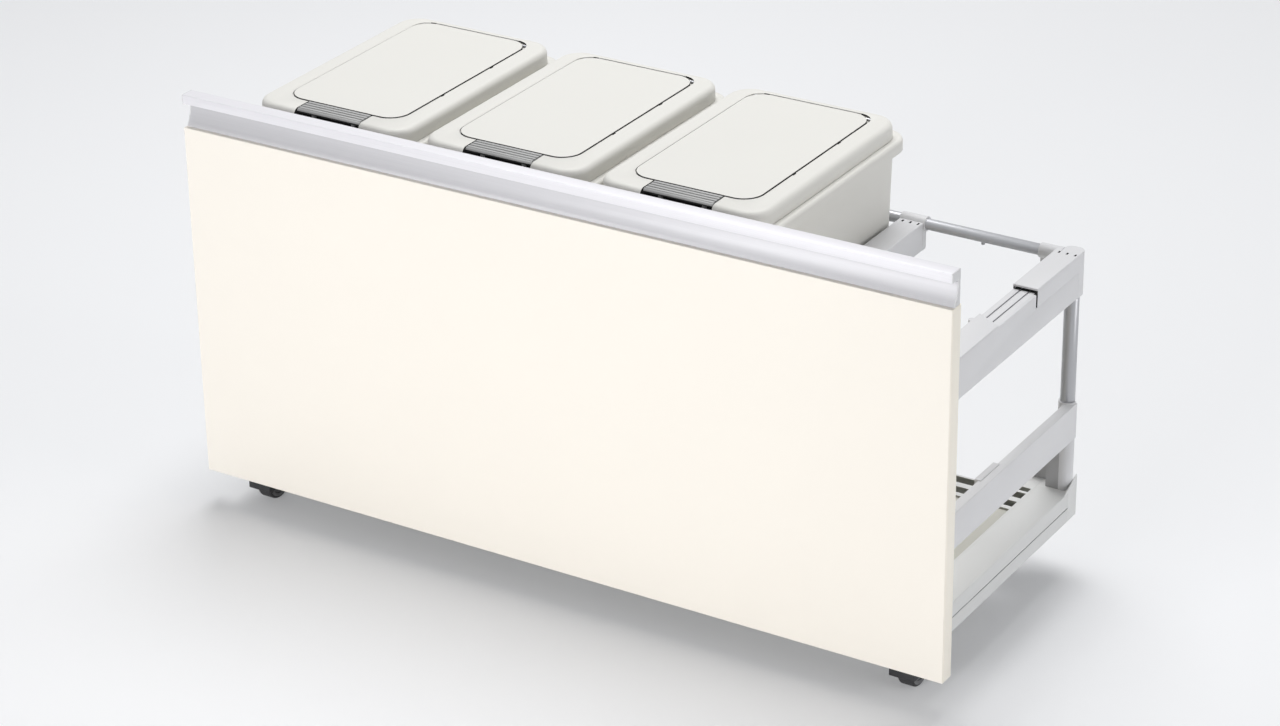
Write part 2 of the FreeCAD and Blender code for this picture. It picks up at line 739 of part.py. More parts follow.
# ---------------------------------------------------------------- base
caster_x = f"({side} - caster_side)"
rear_caster_x = f"({side} - caster_rear_side)"
CASTERS = {
    "front_right": (1, caster_x, f"({front} + caster_front)"),
    "front_left": (-1, caster_x, f"({front} + caster_front)"),
    "rear_right": (1, rear_caster_x, f"({back} - caster_rear_gap)"),
    "rear_left": (-1, rear_caster_x, f"({back} - caster_rear_gap)"),
}
plate_reach = "(caster_plate_wide / 2 - screw_edge)"


def caster_holes(sign, caster_y):
    """Return the four screw holes that hold one caster's plate under the channel's foot."""
    holes = []
    for left in (-1, 1):
        for low in (-1, 1):
            x = f"({sign} * {caster_x} + {left} * {plate_reach})"
            holes.append(circle(x, f"({caster_y} + {low} * {plate_reach})", "screw_radius"))
    return holes


def channel_section(wall):
    """Section of the base channel with its inner foot, drawn in by a wall thickness."""
    foot_in = f"{channel_in} - foot_wide + {wall}"
    foot_top = f"base_bottom + foot_tall - {wall}"
    return {"points": [
        (foot_in, f"base_bottom + {wall}"), (f"{side} - {wall}", f"base_bottom + {wall}"),
        (f"{side} - {wall}", f"{base_top} - {wall}"), (f"{channel_in} + {wall}", f"{base_top} - {wall}"),
        (f"{channel_in} + {wall}", foot_top), (foot_in, foot_top),
    ]}


def build_base_channel():
    """Hollow side channel with a groove line, holes for the casters and a corner cap at the rear."""
    channel = new_body("base_channel_right")
    end = f"({back} - cap_long)"
    pad(channel, "Y", rail_start, end, channel_section("0"))
    pocket(channel, "Y", rail_start, end, channel_section("channel_wall"))
    low = "(base_bottom + channel_line)"
    line = rectangle(f"{side} - channel_line_wide", low, f"{side} + 1", f"{low} + channel_line_wide")
    pocket(channel, "Y", rail_start, end, line)
    for sign, _, caster_y in CASTERS.values():
        if sign > 0:
            pocket(channel, "Z", "base_bottom", "base_bottom + channel_wall", *caster_holes(sign, caster_y))
    fillet(channel, "rail_corner / 2", along("Y", ("X", side), ("Z", base_top)))
    fillet(channel, "rail_corner / 2", along("Y", ("X", side), ("Z", "base_bottom")))
    keep_pair(channel)

    cap = new_body("base_cap_right")
    pad(cap, "Y", end, back, channel_section("0"))
    pad(cap, "Y", f"{end} - cap_plug", end, channel_section("(channel_wall + tube_fit)"))
    fillet(cap, "rail_corner / 2", along("Y", ("X", side), ("Z", "base_bottom")))
    upstand = {"points": [(f"{back} - upstand_run", base_top), (back, base_top),
                          (back, f"{base_top} + upstand_rise")]}
    pad(cap, "X", f"{side} - upstand_thick", side, upstand)
    keep_pair(cap)


def build_tray():
    """Slotted floor on the channels' feet, with a rim below, cut out at the rear, sunk in the bottle bay."""
    tray = new_body("base_tray")
    low = "(base_bottom + foot_tall)"
    skin_low = f"({base_top} - tray_plate)"
    outline = rectangle(f"-{channel_in}", rail_start, channel_in, back)
    pad(tray, "Z", low, base_top, outline)
    cut_side = f"({channel_in} - cutout_side)"
    cut_front = f"({back} - cutout_depth)"
    pocket(tray, "Z", low, base_top, rectangle(f"-{cut_side}", cut_front, cut_side, f"{back} + 1"))
    bays = [(f"({middle} - bay_half)", f"({middle} + bay_half)") for middle in bin_middles]
    bays.append((f"({partition_right} + bay_margin)", f"({channel_in} - slot_end)"))
    slot_middles = [f"({back} - slot_first - {number} * slot_pitch)" for number in range(2)]
    sunk_end = f"({slot_middles[-1]} - slot_wide / 2 - sunk_gap)"
    # undersides of the bays, hollowed between the rim and cross ribs
    for left, right in bays:
        hollow = rectangle(left, f"{sunk_end} + tray_plate", right, f"{cut_front} - tray_plate")
        pocket(tray, "Z", low, skin_low, hollow)
        hollow = rectangle(left, f"{rail_start} + tray_plate", right, sunk_end)
        pocket(tray, "Z", low, f"{skin_low} - sunk_deep", hollow)
    slots = []
    for left, right in bays:
        for middle in slot_middles:
            slots.append(rectangle(left, f"{middle} - slot_wide / 2", right, f"{middle} + slot_wide / 2"))
    for sign in (-1, 1):
        middle = f"({back} - side_slot)"
        ends = [f"({sign} * ({cut_side} + slot_end))", f"({sign} * ({channel_in} - slot_end))"]
        ends.sort(key=value)
        slots.append(rectangle(ends[0], f"{middle} - side_slot_wide / 2",
                               ends[1], f"{middle} + side_slot_wide / 2"))
    pocket(tray, "Z", low, base_top, *slots)
    left, right = bays[-1]
    sunk = rectangle(left, f"{rail_start} + bay_margin", right, sunk_end)
    pocket(tray, "Z", f"{base_top} - sunk_deep", base_top, sunk)
    keep(tray)


# ---------------------------------------------------------------- casters
wheel_half = "(wheel_wide / 2)"
fork_in = f"({wheel_half} + fork_gap)"
fork_half = f"({fork_in} + fork_wall)"
axle_half = f"({fork_half} + pedal_arm + fork_gap)"
plate_low = "(base_bottom - caster_plate)"
fork_top = f"({plate_low} - fork_gap)"
crown_low = "(2 * wheel_radius + wheel_gap)"


def build_caster(name, sign, swivel_x, swivel_y):
    """Build one caster's fork, axle, wheel and front lock pedal, and return its plate."""
    x = f"({sign} * {swivel_x})"
    axle_y = f"({swivel_y} - caster_trail)"
    plate = new_body(f"caster_plate_{name}")
    reach = "(caster_plate_wide / 2)"
    plate_in = f"({sign} * ({swivel_x} - {reach}))"
    plate_out = f"({sign} * ({caster_x} + {reach}))"
    sheet_metal = rectangle(plate_in, f"{swivel_y} - {reach}", plate_out, f"{swivel_y} + {reach}")
    pad(plate, "Z", plate_low, "base_bottom", sheet_metal)
    fillet(plate, "screw_edge / 2", along("Z"))
    head_top = f"({crown_low} - stud_head_gap)"
    pad(plate, "Z", head_top, plate_low, circle(x, swivel_y, "stud_radius"))
    pad(plate, "Z", f"{head_top} - stud_head_tall", head_top, circle(x, swivel_y, "stud_head"))
    pocket(plate, "Z", plate_low, "base_bottom", *caster_holes(sign, swivel_y))

    fork = new_body(f"caster_fork_{name}")
    crown_front = f"({axle_y} - fork_ear)"
    crown_rear = f"({swivel_y} + stud_radius + 2 * fork_wall)"
    cheek = {"points": [
        (f"{axle_y} - fork_ear", "wheel_radius"),
        (f"{axle_y} + fork_ear", "wheel_radius"),
        (crown_rear, f"{crown_low} + fork_wall"),
        (crown_rear, fork_top),
        (crown_front, fork_top),
    ]}
    pad(fork, "X", f"{x} - {fork_half}", f"{x} + {fork_half}", cheek)
    ear = circle(axle_y, "wheel_radius", "fork_ear")
    pad(fork, "X", f"{x} - {fork_half}", f"{x} + {fork_half}", ear)
    slot = rectangle(f"{x} - {fork_in}", "0", f"{x} + {fork_in}", crown_low)
    pocket(fork, "Y", f"{crown_front} - 1", f"{crown_rear} + 1", slot)
    pocket(fork, "Z", crown_low, fork_top, circle(x, swivel_y, "stud_radius + swivel_fit"))
    pocket(fork, "X", f"{x} - {fork_half}", f"{x} + {fork_half}", circle(axle_y, "wheel_radius", "axle_radius"))

    axle = new_body(f"caster_axle_{name}")
    pad(axle, "X", f"{x} - {axle_half}", f"{x} + {axle_half}", circle(axle_y, "wheel_radius", "axle_radius"))

    wheel = new_body(f"caster_wheel_{name}")
    rim = [circle(axle_y, "wheel_radius", "wheel_radius"),
           circle(axle_y, "wheel_radius", "axle_radius + axle_fit")]
    pad(wheel, "X", f"{x} - {wheel_half}", f"{x} + {wheel_half}", *rim)
    for place in (f"{x} - {wheel_half}", f"{x} + {wheel_half} - wheel_dish"):
        dish = [circle(axle_y, "wheel_radius", "wheel_radius - tyre_deep"),
                circle(axle_y, "wheel_radius", "axle_radius + hub_wall")]
        pocket(wheel, "X", place, f"{place} + wheel_dish", *dish)
    fillet(wheel, "tyre_round", round_of("wheel_radius"))
    keep(fork, axle, wheel)

    if name.startswith("front"):
        pedal = new_body(f"lock_pedal_{name}")
        nose = f"({axle_y} - wheel_radius - wheel_gap - pedal_thick)"
        block = rectangle(f"{nose}", "pedal_low", f"{axle_y} - fork_ear - fork_gap", "pedal_low + pedal_tall")
        pad(pedal, "X", f"{x} - pedal_wide / 2", f"{x} + pedal_wide / 2", block)
        fillet(pedal, "pedal_thick / 4", along("X", ("Y", nose)))
        for place in (f"{x} - {fork_half} - fork_gap / 2 - pedal_arm", f"{x} + {fork_half} + fork_gap / 2"):
            arm_front = f"{axle_y} - fork_ear - 2 * fork_gap"
            arm = rectangle(arm_front, "wheel_radius - pedal_eye", axle_y, "wheel_radius + pedal_eye")
            pad(pedal, "X", place, f"{place} + pedal_arm", arm)
            pad(pedal, "X", place, f"{place} + pedal_arm", circle(axle_y, "wheel_radius", "pedal_eye"))
        pocket(pedal, "X", f"{x} - {fork_in}", f"{x} + {fork_in}",
               circle(axle_y, "wheel_radius", "wheel_radius + wheel_gap"))
        pocket(pedal, "X", f"{x} - {axle_half}", f"{x} + {axle_half}",
               circle(axle_y, "wheel_radius", "axle_radius + axle_fit"))
        keep(pedal)
    return plate


# ---------------------------------------------------------------- front uprights and screws
def build_uprights():
    """Steel strips behind the panel that tie the rails and the base to it."""
    upright = new_body("front_upright_right")
    strip = rectangle(f"{side} - upright_wide", "base_bottom", side, "rail_top")
    pad(upright, "Y", panel_back, rail_start, strip)
    pocket(upright, "Y", panel_back, rail_start, *[circle(screw_x, z, "screw_radius") for z in screw_heights])
    keep_pair(upright)


def build_screws():
    """Screws of the panel and of the casters, each kind one group of separate solids."""
    screws = []
    for x, z in panel_screw_places():
        screw = new_body("panel_screw")
        pad(screw, "Y", f"{panel_back} - screw_bite", rail_start, circle(x, z, "screw_radius"))
        pad(screw, "Y", rail_start, f"{rail_start} + screw_cap", circle(x, z, "screw_head"))
        screws.append(screw)
    keep(grouped("panel_screws", screws))
    bolts = []
    for sign, _, caster_y in CASTERS.values():
        for hole in caster_holes(sign, caster_y):
            bolt = new_body("caster_screw")
            pad(bolt, "Z", plate_low, "base_bottom + channel_wall", hole)
            head = circle(hole["u"], hole["v"], "screw_head")
            pad(bolt, "Z", "base_bottom + channel_wall", "base_bottom + channel_wall + screw_cap", head)
            bolts.append(bolt)
    keep(grouped("caster_screws", bolts))


# ---------------------------------------------------------------- bins
rim_low = "(bin_rim_top - bin_rim_tall)"
bin_y0 = f"({front} + bin_front)"
bin_y1 = f"({back} - bin_rear_gap)"
bin_floor = f"({base_top} + bin_seat_gap)"
lid_low = "(bin_rim_top + lid_lift_gap)"
lid_top = f"({lid_low} + lid_tall)"
lid_y0 = f"({bin_y0} + lid_inset)"
flap_y0 = f"({lid_y0} + flap_front)"
flap_y1 = f"({bin_y1} - lid_inset - flap_rear)"
flap_half = "(flap_wide / 2)"
flap_top = f"({lid_top} + flap_rise)"
flap_low = f"({flap_top} - flap_thick)"
pin_y = f"({flap_y1} - pin_back)"
pin_z = f"({flap_top} - pin_down)"
pin_half = f"({flap_half} + flap_gap + pin_grip)"
button_half = "(button_wide / 2)"
notch_low = f"({lid_top} - notch_deep)"
mouth_corner = "(bin_corner - bin_rim_over / 2 - bin_wall)"


def build_bin(number, middle):
    """One bin: tapered body with a rolled rim, lid frame, flap on its pin, and push button."""
    def inset(amount, radius):
        return rounded(f"{middle} - bin_wide / 2 + {amount}", f"{bin_y0} + {amount}",
                       f"{middle} + bin_wide / 2 - {amount}", f"{bin_y1} - {amount}", radius)

    body = new_body(f"bin_body_{number}")
    pad(body, "Z", bin_floor, f"{rim_low} + bin_wall", inset("bin_rim_over", "bin_corner - bin_rim_over / 2"),
        taper="-bin_taper", downward=True)
    pad(body, "Z", rim_low, "bin_rim_top", inset("0", "bin_corner"))
    fillet(body, "rim_round", at_height("bin_rim_top"))
    pocket(body, "Z", f"{bin_floor} + bin_wall", "bin_rim_top",
           inset("(bin_rim_over + bin_wall)", mouth_corner),
           taper="-bin_taper", downward=True)
    pocket(body, "Z", rim_low, "bin_rim_top - bin_wall", inset("bin_wall", "bin_corner - bin_wall"),
           inset("(bin_rim_over - tube_wall)", "bin_corner - bin_rim_over / 2 + tube_wall"))

    lid = new_body(f"lid_frame_{number}")
    pad(lid, "Z", lid_low, lid_top, inset("lid_inset", "bin_corner"))
    fillet(lid, "lid_round", at_height(lid_top))
    hollow = inset("(lid_inset + lid_wall)", "bin_corner - lid_wall")
    pocket(lid, "Z", lid_low, f"{lid_top} - lid_plate", hollow)
    lip = "(bin_rim_over + bin_wall + lip_gap)"
    pad(lid, "Z", f"{lid_low} - lip_tall", f"{lid_top} - lid_plate", inset(lip, mouth_corner),
        inset(f"({lip} + lip_wall)", f"{mouth_corner} - lip_wall"))
    shelf = rectangle(f"{middle} - {button_half} - shelf_edge", f"{lid_y0} + lid_wall",
                      f"{middle} + {button_half} + shelf_edge", f"{flap_y0} + shelf_edge")
    pad(lid, "Z", f"{notch_low} - lid_wall", f"{lid_top} - lid_plate", shelf)
    notch = rectangle(f"{middle} - {button_half} - button_gap", f"{lid_y0} - 1",
                      f"{middle} + {button_half} + button_gap", flap_y0)
    pocket(lid, "Z", notch_low, f"{lid_top} + 1", notch)
    recess = rounded(f"{middle} - {flap_half} - flap_gap", f"{flap_y0} - flap_gap",
                     f"{middle} + {flap_half} + flap_gap", f"{flap_y1} + rear_gap", "flap_corner + flap_gap")
    pocket(lid, "Z", f"{flap_low} - flap_seat", lid_top, recess)
    swing = rounded(f"{middle} - {flap_half} - flap_gap", f"{flap_y1} - 2 * swing_corner",
                    f"{middle} + {flap_half} + flap_gap", f"{flap_y1} + rear_gap", "swing_corner")
    pocket(lid, "Z", f"{flap_low} - flap_seat", lid_top, swing)
    mouth = rounded(f"{middle} - {flap_half} + flap_seat_wide", f"{flap_y0} + flap_seat_wide",
                    f"{middle} + {flap_half} - flap_seat_wide", f"{flap_y1} - flap_seat_wide", "flap_corner")
    pocket(lid, "Z", lid_low, f"{flap_low} + 1", mouth)
    trough = rectangle(f"{middle} - {flap_half} - flap_gap", f"{pin_y} - 2 * barrel_radius",
                       f"{middle} + {flap_half} + flap_gap", f"{flap_y1} + rear_gap")
    pocket(lid, "Z", f"{pin_z} - barrel_radius - flap_gap", flap_low, trough)
    pocket(lid, "X", f"{middle} - {pin_half}", f"{middle} + {pin_half}", circle(pin_y, pin_z, "pin_radius"))
    nicks = []
    for place in ("grip_notch_first", "grip_notch_second"):
        nicks.append(rectangle(f"{middle} + {flap_half} + flap_gap / 2", f"{flap_y0} + {place}",
                               f"{middle} + {flap_half} + flap_gap + grip_notch_wide",
                               f"{flap_y0} + {place} + grip_notch_long"))
    pocket(lid, "Z", flap_low, lid_top, *nicks)
    stems = []
    for way in (-1, 1):
        stems.append((f"{middle} + {way} * button_stem_pitch / 2", f"({lid_y0} + {flap_y0}) / 2"))
    sockets = [circle(stem_x, stem_y, "button_stem + button_stem_fit") for stem_x, stem_y in stems]
    pocket(lid, "Z", f"{notch_low} - lid_wall", notch_low, *sockets)

    flap = new_body(f"flap_{number}")
    panel = rounded(f"{middle} - {flap_half}", flap_y0, f"{middle} + {flap_half}", flap_y1, "flap_corner")
    pad(flap, "Z", flap_low, flap_top, panel)
    fillet(flap, "flap_soft", at_height(flap_top))
    barrel = f"({flap_half} - flap_corner - barrel_gap)"
    pad(flap, "X", f"{middle} - {barrel}", f"{middle} + {barrel}", circle(pin_y, pin_z, "barrel_radius"))
    bore = circle(pin_y, pin_z, "pin_radius + pin_fit")
    pocket(flap, "X", f"{middle} - {flap_half}", f"{middle} + {flap_half}", bore)

    pin = new_body(f"hinge_pin_{number}")
    pad(pin, "X", f"{middle} - {pin_half}", f"{middle} + {pin_half}", circle(pin_y, pin_z, "pin_radius"))

    button = new_body(f"push_button_{number}")
    rear = f"({flap_y0} - button_gap)"
    nose_y = f"({lid_y0} + button_back)"
    section = {"points": [
        (nose_y, f"{lid_top} - button_nose"),
        (f"{nose_y} + button_wall", f"{lid_top} - button_nose"),
        (f"{nose_y} + button_wall", f"{lid_top} - button_round"),
        (f"{nose_y} + button_round", f"{lid_top} - button_wall"),
        (rear, f"{lid_top} - button_wall"),
        (rear, lid_top),
        (f"{nose_y} + button_round", lid_top),
        (nose_y, f"{lid_top} - button_round"),
    ], "arcs": {2: ("button_round - button_wall", 1), 6: ("button_round", -1)}}
    pad(button, "X", f"{middle} - {button_half}", f"{middle} + {button_half}", section)
    for stem_x, stem_y in stems:
        stem = circle(stem_x, stem_y, "button_stem")
        pad(button, "Z", f"{notch_low} - 2 * lid_wall", f"{lid_top} - button_wall", stem)
    keep(body, lid, flap, pin, button)


# ---------------------------------------------------------------- build and write
build_panel()
build_grip()
build_upper_rail()
build_rail_bracket()
build_rear_joint()
build_rear_tube()
build_posts()
build_partition()
build_middle_rail()
build_post_cover()
build_base_channel()
build_tray()
keep(grouped("caster_plates", [build_caster(name, *place) for name, place in CASTERS.items()]))
build_uprights()
build_screws()
for number, middle in enumerate(bin_middles, start=1):
    build_bin(number, middle)
doc.recompute()

for item in doc.Objects:
    if "Invalid" in item.State or "Error" in item.State:
        raise RuntimeError(f"{item.Label} failed: {item.State}")
os.makedirs("parts", exist_ok=True)
for piece in PIECES:
    shape = piece.Shape
    if shape.isNull() or not shape.isValid():
        raise RuntimeError(f"{piece.Label} has no valid shape")
    shape.exportStep(f"parts/{piece.Label}.step")
    print(f"{piece.Label}: {len(shape.Solids)} solid(s), {shape.Volume / 1000:.1f} cm3")
print(f"{len(PIECES)} pieces")
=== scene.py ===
# %% [markdown]
# # A low trash wagon for the space under a worktop
#
# The wagon is a wide cream front with an aluminium grip rail, an open grey frame behind it, three
# lidded bins, and an open bay for bottles at the right-hand end. It rolls on four casters.
#
# The hard shapes were made in CAD and arrive as a fixed frame of named nodes. This lesson gives
# them softened edges, small fittings and finishes, then lights them and sets the camera.

# %% Load the fixed frame
import bpy
import bmesh
import json
import math
from mathutils import Matrix, Vector


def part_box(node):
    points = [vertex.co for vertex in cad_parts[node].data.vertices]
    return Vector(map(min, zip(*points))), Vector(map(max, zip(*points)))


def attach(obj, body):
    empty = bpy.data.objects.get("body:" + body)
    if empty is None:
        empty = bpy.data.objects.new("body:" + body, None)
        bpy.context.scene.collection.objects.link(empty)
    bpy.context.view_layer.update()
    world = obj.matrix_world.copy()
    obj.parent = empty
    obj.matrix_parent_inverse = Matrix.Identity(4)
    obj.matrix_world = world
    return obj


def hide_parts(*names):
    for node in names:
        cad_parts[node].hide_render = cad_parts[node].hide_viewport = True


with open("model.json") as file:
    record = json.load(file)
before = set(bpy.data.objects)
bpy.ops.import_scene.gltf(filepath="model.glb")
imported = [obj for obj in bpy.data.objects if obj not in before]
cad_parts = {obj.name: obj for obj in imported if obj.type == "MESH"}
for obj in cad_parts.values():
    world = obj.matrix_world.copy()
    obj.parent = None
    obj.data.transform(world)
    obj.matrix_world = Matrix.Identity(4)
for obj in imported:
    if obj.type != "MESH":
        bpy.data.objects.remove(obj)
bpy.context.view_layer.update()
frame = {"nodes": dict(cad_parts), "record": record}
nodes = frame["nodes"]


# %% [markdown]
# ## Which body carries which node
#
# A piece that is made here has to ride on the body of the node that it dresses. The record lists
# every node under its body, so one small table answers that for all of them.

# %% Look up bodies and finishes
BODY_OF = {}
for body, members in frame["record"]["behaviour"]["bodies"].items():
    for member in members:
        BODY_OF[member] = body
SLOT_OF = {part["node"]: part["material_slot"] for part in frame["record"]["subparts"]}
print("finish slots:", sorted(set(SLOT_OF.values())))


# %% [markdown]
# ## A skin for moulded plastic
#
# Nearly everything behind the front is moulded plastic or painted metal. Such a skin is never
# quite even: it has a fine grain, a slow drift in shade, and a little dust where it faces up.
# One node group holds all of that, and each material asks it for its own amounts.

# %% Build the skin group
MIX_A, MIX_B, MIX_RESULT = 6, 7, 2     # the Mix node's two colour inputs and its colour output
NOISE_MEAN = 0.5                       # taken away from a noise, so that it swings both ways
DUST_COLOUR = (0.80, 0.79, 0.77, 1)


def socket(tree, name, way, kind, default=None):
    """Add a named socket to a node group."""
    made = tree.interface.new_socket(name=name, in_out=way, socket_type=kind)
    if default is not None:
        made.default_value = default


def wire(tree, *pairs):
    """Link outputs to inputs."""
    for out, into in pairs:
        tree.links.new(out, into)


def new_node(tree, kind, **settings):
    """Add a node; a setting whose name is a socket goes to that socket's default."""
    made = tree.nodes.new(kind)
    for name, setting in settings.items():
        label = name.replace("_", " ").title()
        if label in made.inputs:
            made.inputs[label].default_value = setting
        else:
            setattr(made, name, setting)
    return made


def build_skin_group():
    """Grain, drift in shade and dust, for plastic and paint."""
    tree = bpy.data.node_groups.new("moulded_skin", "ShaderNodeTree")
    socket(tree, "Color", "INPUT", "NodeSocketColor", (0.7, 0.7, 0.7, 1))
    socket(tree, "Drift", "INPUT", "NodeSocketFloat", 0.03)
    socket(tree, "Grain Scale", "INPUT", "NodeSocketFloat", 900.0)
    socket(tree, "Roughness", "INPUT", "NodeSocketFloat", 0.5)
    socket(tree, "Dust", "INPUT", "NodeSocketFloat", 0.05)
    socket(tree, "Color", "OUTPUT", "NodeSocketColor")
    socket(tree, "Roughness", "OUTPUT", "NodeSocketFloat")
    socket(tree, "Height", "OUTPUT", "NodeSocketFloat")
    given = tree.nodes.new("NodeGroupInput")
    result = tree.nodes.new("NodeGroupOutput")
    place = tree.nodes.new("ShaderNodeTexCoord")
    grain = new_node(tree, "ShaderNodeTexNoise", detail=2.0)
    drift = new_node(tree, "ShaderNodeTexNoise", scale=7.0, detail=3.0)
    wire(tree,
         (place.outputs["Object"], grain.inputs["Vector"]),
         (given.outputs["Grain Scale"], grain.inputs["Scale"]),
         (place.outputs["Object"], drift.inputs["Vector"]))
    swing = new_node(tree, "ShaderNodeMath", operation="SUBTRACT")
    swing.inputs[1].default_value = NOISE_MEAN
    amount = new_node(tree, "ShaderNodeMath", operation="MULTIPLY")
    lift = new_node(tree, "ShaderNodeMath", operation="ADD")
    lift.inputs[1].default_value = 1.0
    wire(tree, (drift.outputs["Fac"], swing.inputs[0]), (swing.outputs[0], amount.inputs[0]),
         (given.outputs["Drift"], amount.inputs[1]), (amount.outputs[0], lift.inputs[0]))
    shade = new_node(tree, "ShaderNodeVectorMath", operation="SCALE")
    wire(tree, (given.outputs["Color"], shade.inputs[0]), (lift.outputs[0], shade.inputs["Scale"]))
    facing = tree.nodes.new("ShaderNodeNewGeometry")
    split = tree.nodes.new("ShaderNodeSeparateXYZ")
    up = new_node(tree, "ShaderNodeMath", operation="MULTIPLY", use_clamp=True)
    dusty = new_node(tree, "ShaderNodeMath", operation="MULTIPLY", use_clamp=True)
    wire(tree,
         (facing.outputs["Normal"], split.inputs[0]), (split.outputs["Z"], up.inputs[0]),
         (drift.outputs["Fac"], up.inputs[1]),
         (up.outputs[0], dusty.inputs[0]), (given.outputs["Dust"], dusty.inputs[1]))
    blend = new_node(tree, "ShaderNodeMix", data_type="RGBA")
    blend.inputs[MIX_B].default_value = DUST_COLOUR
    wire(tree, (dusty.outputs[0], blend.inputs["Factor"]), (shade.outputs[0], blend.inputs[MIX_A]))
    rough = new_node(tree, "ShaderNodeMath", operation="ADD", use_clamp=True)
    wire(tree, (given.outputs["Roughness"], rough.inputs[0]), (amount.outputs[0], rough.inputs[1]))
    wire(tree,
         (blend.outputs[MIX_RESULT], result.inputs["Color"]),
         (rough.outputs[0], result.inputs["Roughness"]),
         (grain.outputs["Fac"], result.inputs["Height"]))
    return tree


skin = build_skin_group()
print("skin group sockets:", [item.name for item in skin.interface.items_tree])


# %% [markdown]
# ## From the skin to a material
#
# The shader itself stays in the material, because numbers that are the same all over belong on the
# shader's own sockets. The group only feeds the colour, the roughness and the height of the grain.

# %% A maker of skinned materials
def skinned(name, color, roughness, drift=0.03, grain=900.0, depth=0.00005, dust=0.05, bump=0.25,
            metallic=0.0):
    """A plastic or painted finish."""
    material = bpy.data.materials.new(name)
    material.use_nodes = True
    tree = material.node_tree
    shader = tree.nodes["Principled BSDF"]
    shader.inputs["Metallic"].default_value = metallic
    group = tree.nodes.new("ShaderNodeGroup")
    group.node_tree = skin
    group.inputs["Color"].default_value = (*color, 1)
    group.inputs["Roughness"].default_value = roughness
    group.inputs["Drift"].default_value = drift
    group.inputs["Grain Scale"].default_value = grain
    group.inputs["Dust"].default_value = dust
    relief = tree.nodes.new("ShaderNodeBump")
    relief.inputs["Strength"].default_value = bump
    relief.inputs["Distance"].default_value = depth
    wire(tree,
         (group.outputs["Color"], shader.inputs["Base Color"]),
         (group.outputs["Roughness"], shader.inputs["Roughness"]),
         (group.outputs["Height"], relief.inputs["Height"]),
         (relief.outputs["Normal"], shader.inputs["Normal"]))
    return material


FINISH = {
    "board": skinned("cream_laminate", (0.93, 0.88, 0.80), 0.42, drift=0.015, grain=500, dust=0.0),
    "cap_grey": skinned("grip_cap_plastic", (0.68, 0.68, 0.69), 0.5),
    "rail_grey": skinned("rail_paint", (0.72, 0.72, 0.735), 0.42, drift=0.02, grain=1400),
    "fitting_grey": skinned("fitting_plastic", (0.70, 0.70, 0.715), 0.46),
    "tube_grey": skinned("tube_paint", (0.46, 0.465, 0.485), 0.34, grain=1400, metallic=0.5),
    "base_grey": skinned("base_plastic", (0.71, 0.715, 0.71), 0.5),
    "caster_black": skinned("caster_plastic", (0.012, 0.012, 0.013), 0.45),
    "wheel_grey": skinned("tyre_rubber", (0.03, 0.03, 0.032), 0.65, grain=500),
    "pedal_grey": skinned("pedal_plastic", (0.02, 0.02, 0.022), 0.5),
    "bin_white": skinned("bin_plastic", (0.755, 0.745, 0.705), 0.5, drift=0.02, depth=0.0001,
                         bump=0.35, grain=1100),
    "button_grey": skinned("button_plastic", (0.42, 0.42, 0.415), 0.45, grain=1300, dust=0.0),
}
print("skinned finishes:", len(FINISH))


# %% [markdown]
# ## Drawn metal
#
# The grip rail is an aluminium extrusion: it comes out of its die with faint lines along its
# length, and the anodising leaves it satin. Steel parts get the same lines, a little stronger.
# Noise that is stretched along one axis draws such lines.

# %% Build the drawn-metal group
LINE_SCALE = (3.0, 1600.0, 1600.0)     # long along X, and fine across it
LINE_STRENGTH = 0.08                   # how strongly the lines tilt the surface
LINE_DEPTH = 0.00003


def build_drawn_group():
    """Fine lines along X in shade, roughness and height."""
    tree = bpy.data.node_groups.new("drawn_metal", "ShaderNodeTree")
    socket(tree, "Color", "INPUT", "NodeSocketColor", (0.8, 0.8, 0.8, 1))
    socket(tree, "Roughness", "INPUT", "NodeSocketFloat", 0.3)
    socket(tree, "Contrast", "INPUT", "NodeSocketFloat", 0.08)
    socket(tree, "Color", "OUTPUT", "NodeSocketColor")
    socket(tree, "Roughness", "OUTPUT", "NodeSocketFloat")
    socket(tree, "Height", "OUTPUT", "NodeSocketFloat")
    given = tree.nodes.new("NodeGroupInput")
    result = tree.nodes.new("NodeGroupOutput")
    place = tree.nodes.new("ShaderNodeTexCoord")
    squeeze = new_node(tree, "ShaderNodeMapping")
    squeeze.inputs["Scale"].default_value = LINE_SCALE
    lines = new_node(tree, "ShaderNodeTexNoise", scale=1.0, detail=3.0)
    swing = new_node(tree, "ShaderNodeMath", operation="SUBTRACT")
    swing.inputs[1].default_value = NOISE_MEAN
    amount = new_node(tree, "ShaderNodeMath", operation="MULTIPLY")
    lift = new_node(tree, "ShaderNodeMath", operation="ADD")
    lift.inputs[1].default_value = 1.0
    shade = new_node(tree, "ShaderNodeVectorMath", operation="SCALE")
    rough = new_node(tree, "ShaderNodeMath", operation="ADD", use_clamp=True)
    wire(tree,
         (place.outputs["Object"], squeeze.inputs["Vector"]),
         (squeeze.outputs[0], lines.inputs["Vector"]),
         (lines.outputs["Fac"], swing.inputs[0]), (swing.outputs[0], amount.inputs[0]),
         (given.outputs["Contrast"], amount.inputs[1]), (amount.outputs[0], lift.inputs[0]),
         (given.outputs["Color"], shade.inputs[0]), (lift.outputs[0], shade.inputs["Scale"]),
         (given.outputs["Roughness"], rough.inputs[0]), (amount.outputs[0], rough.inputs[1]),
         (shade.outputs[0], result.inputs["Color"]), (rough.outputs[0], result.inputs["Roughness"]),
         (lines.outputs["Fac"], result.inputs["Height"]))
    return tree


drawn = build_drawn_group()


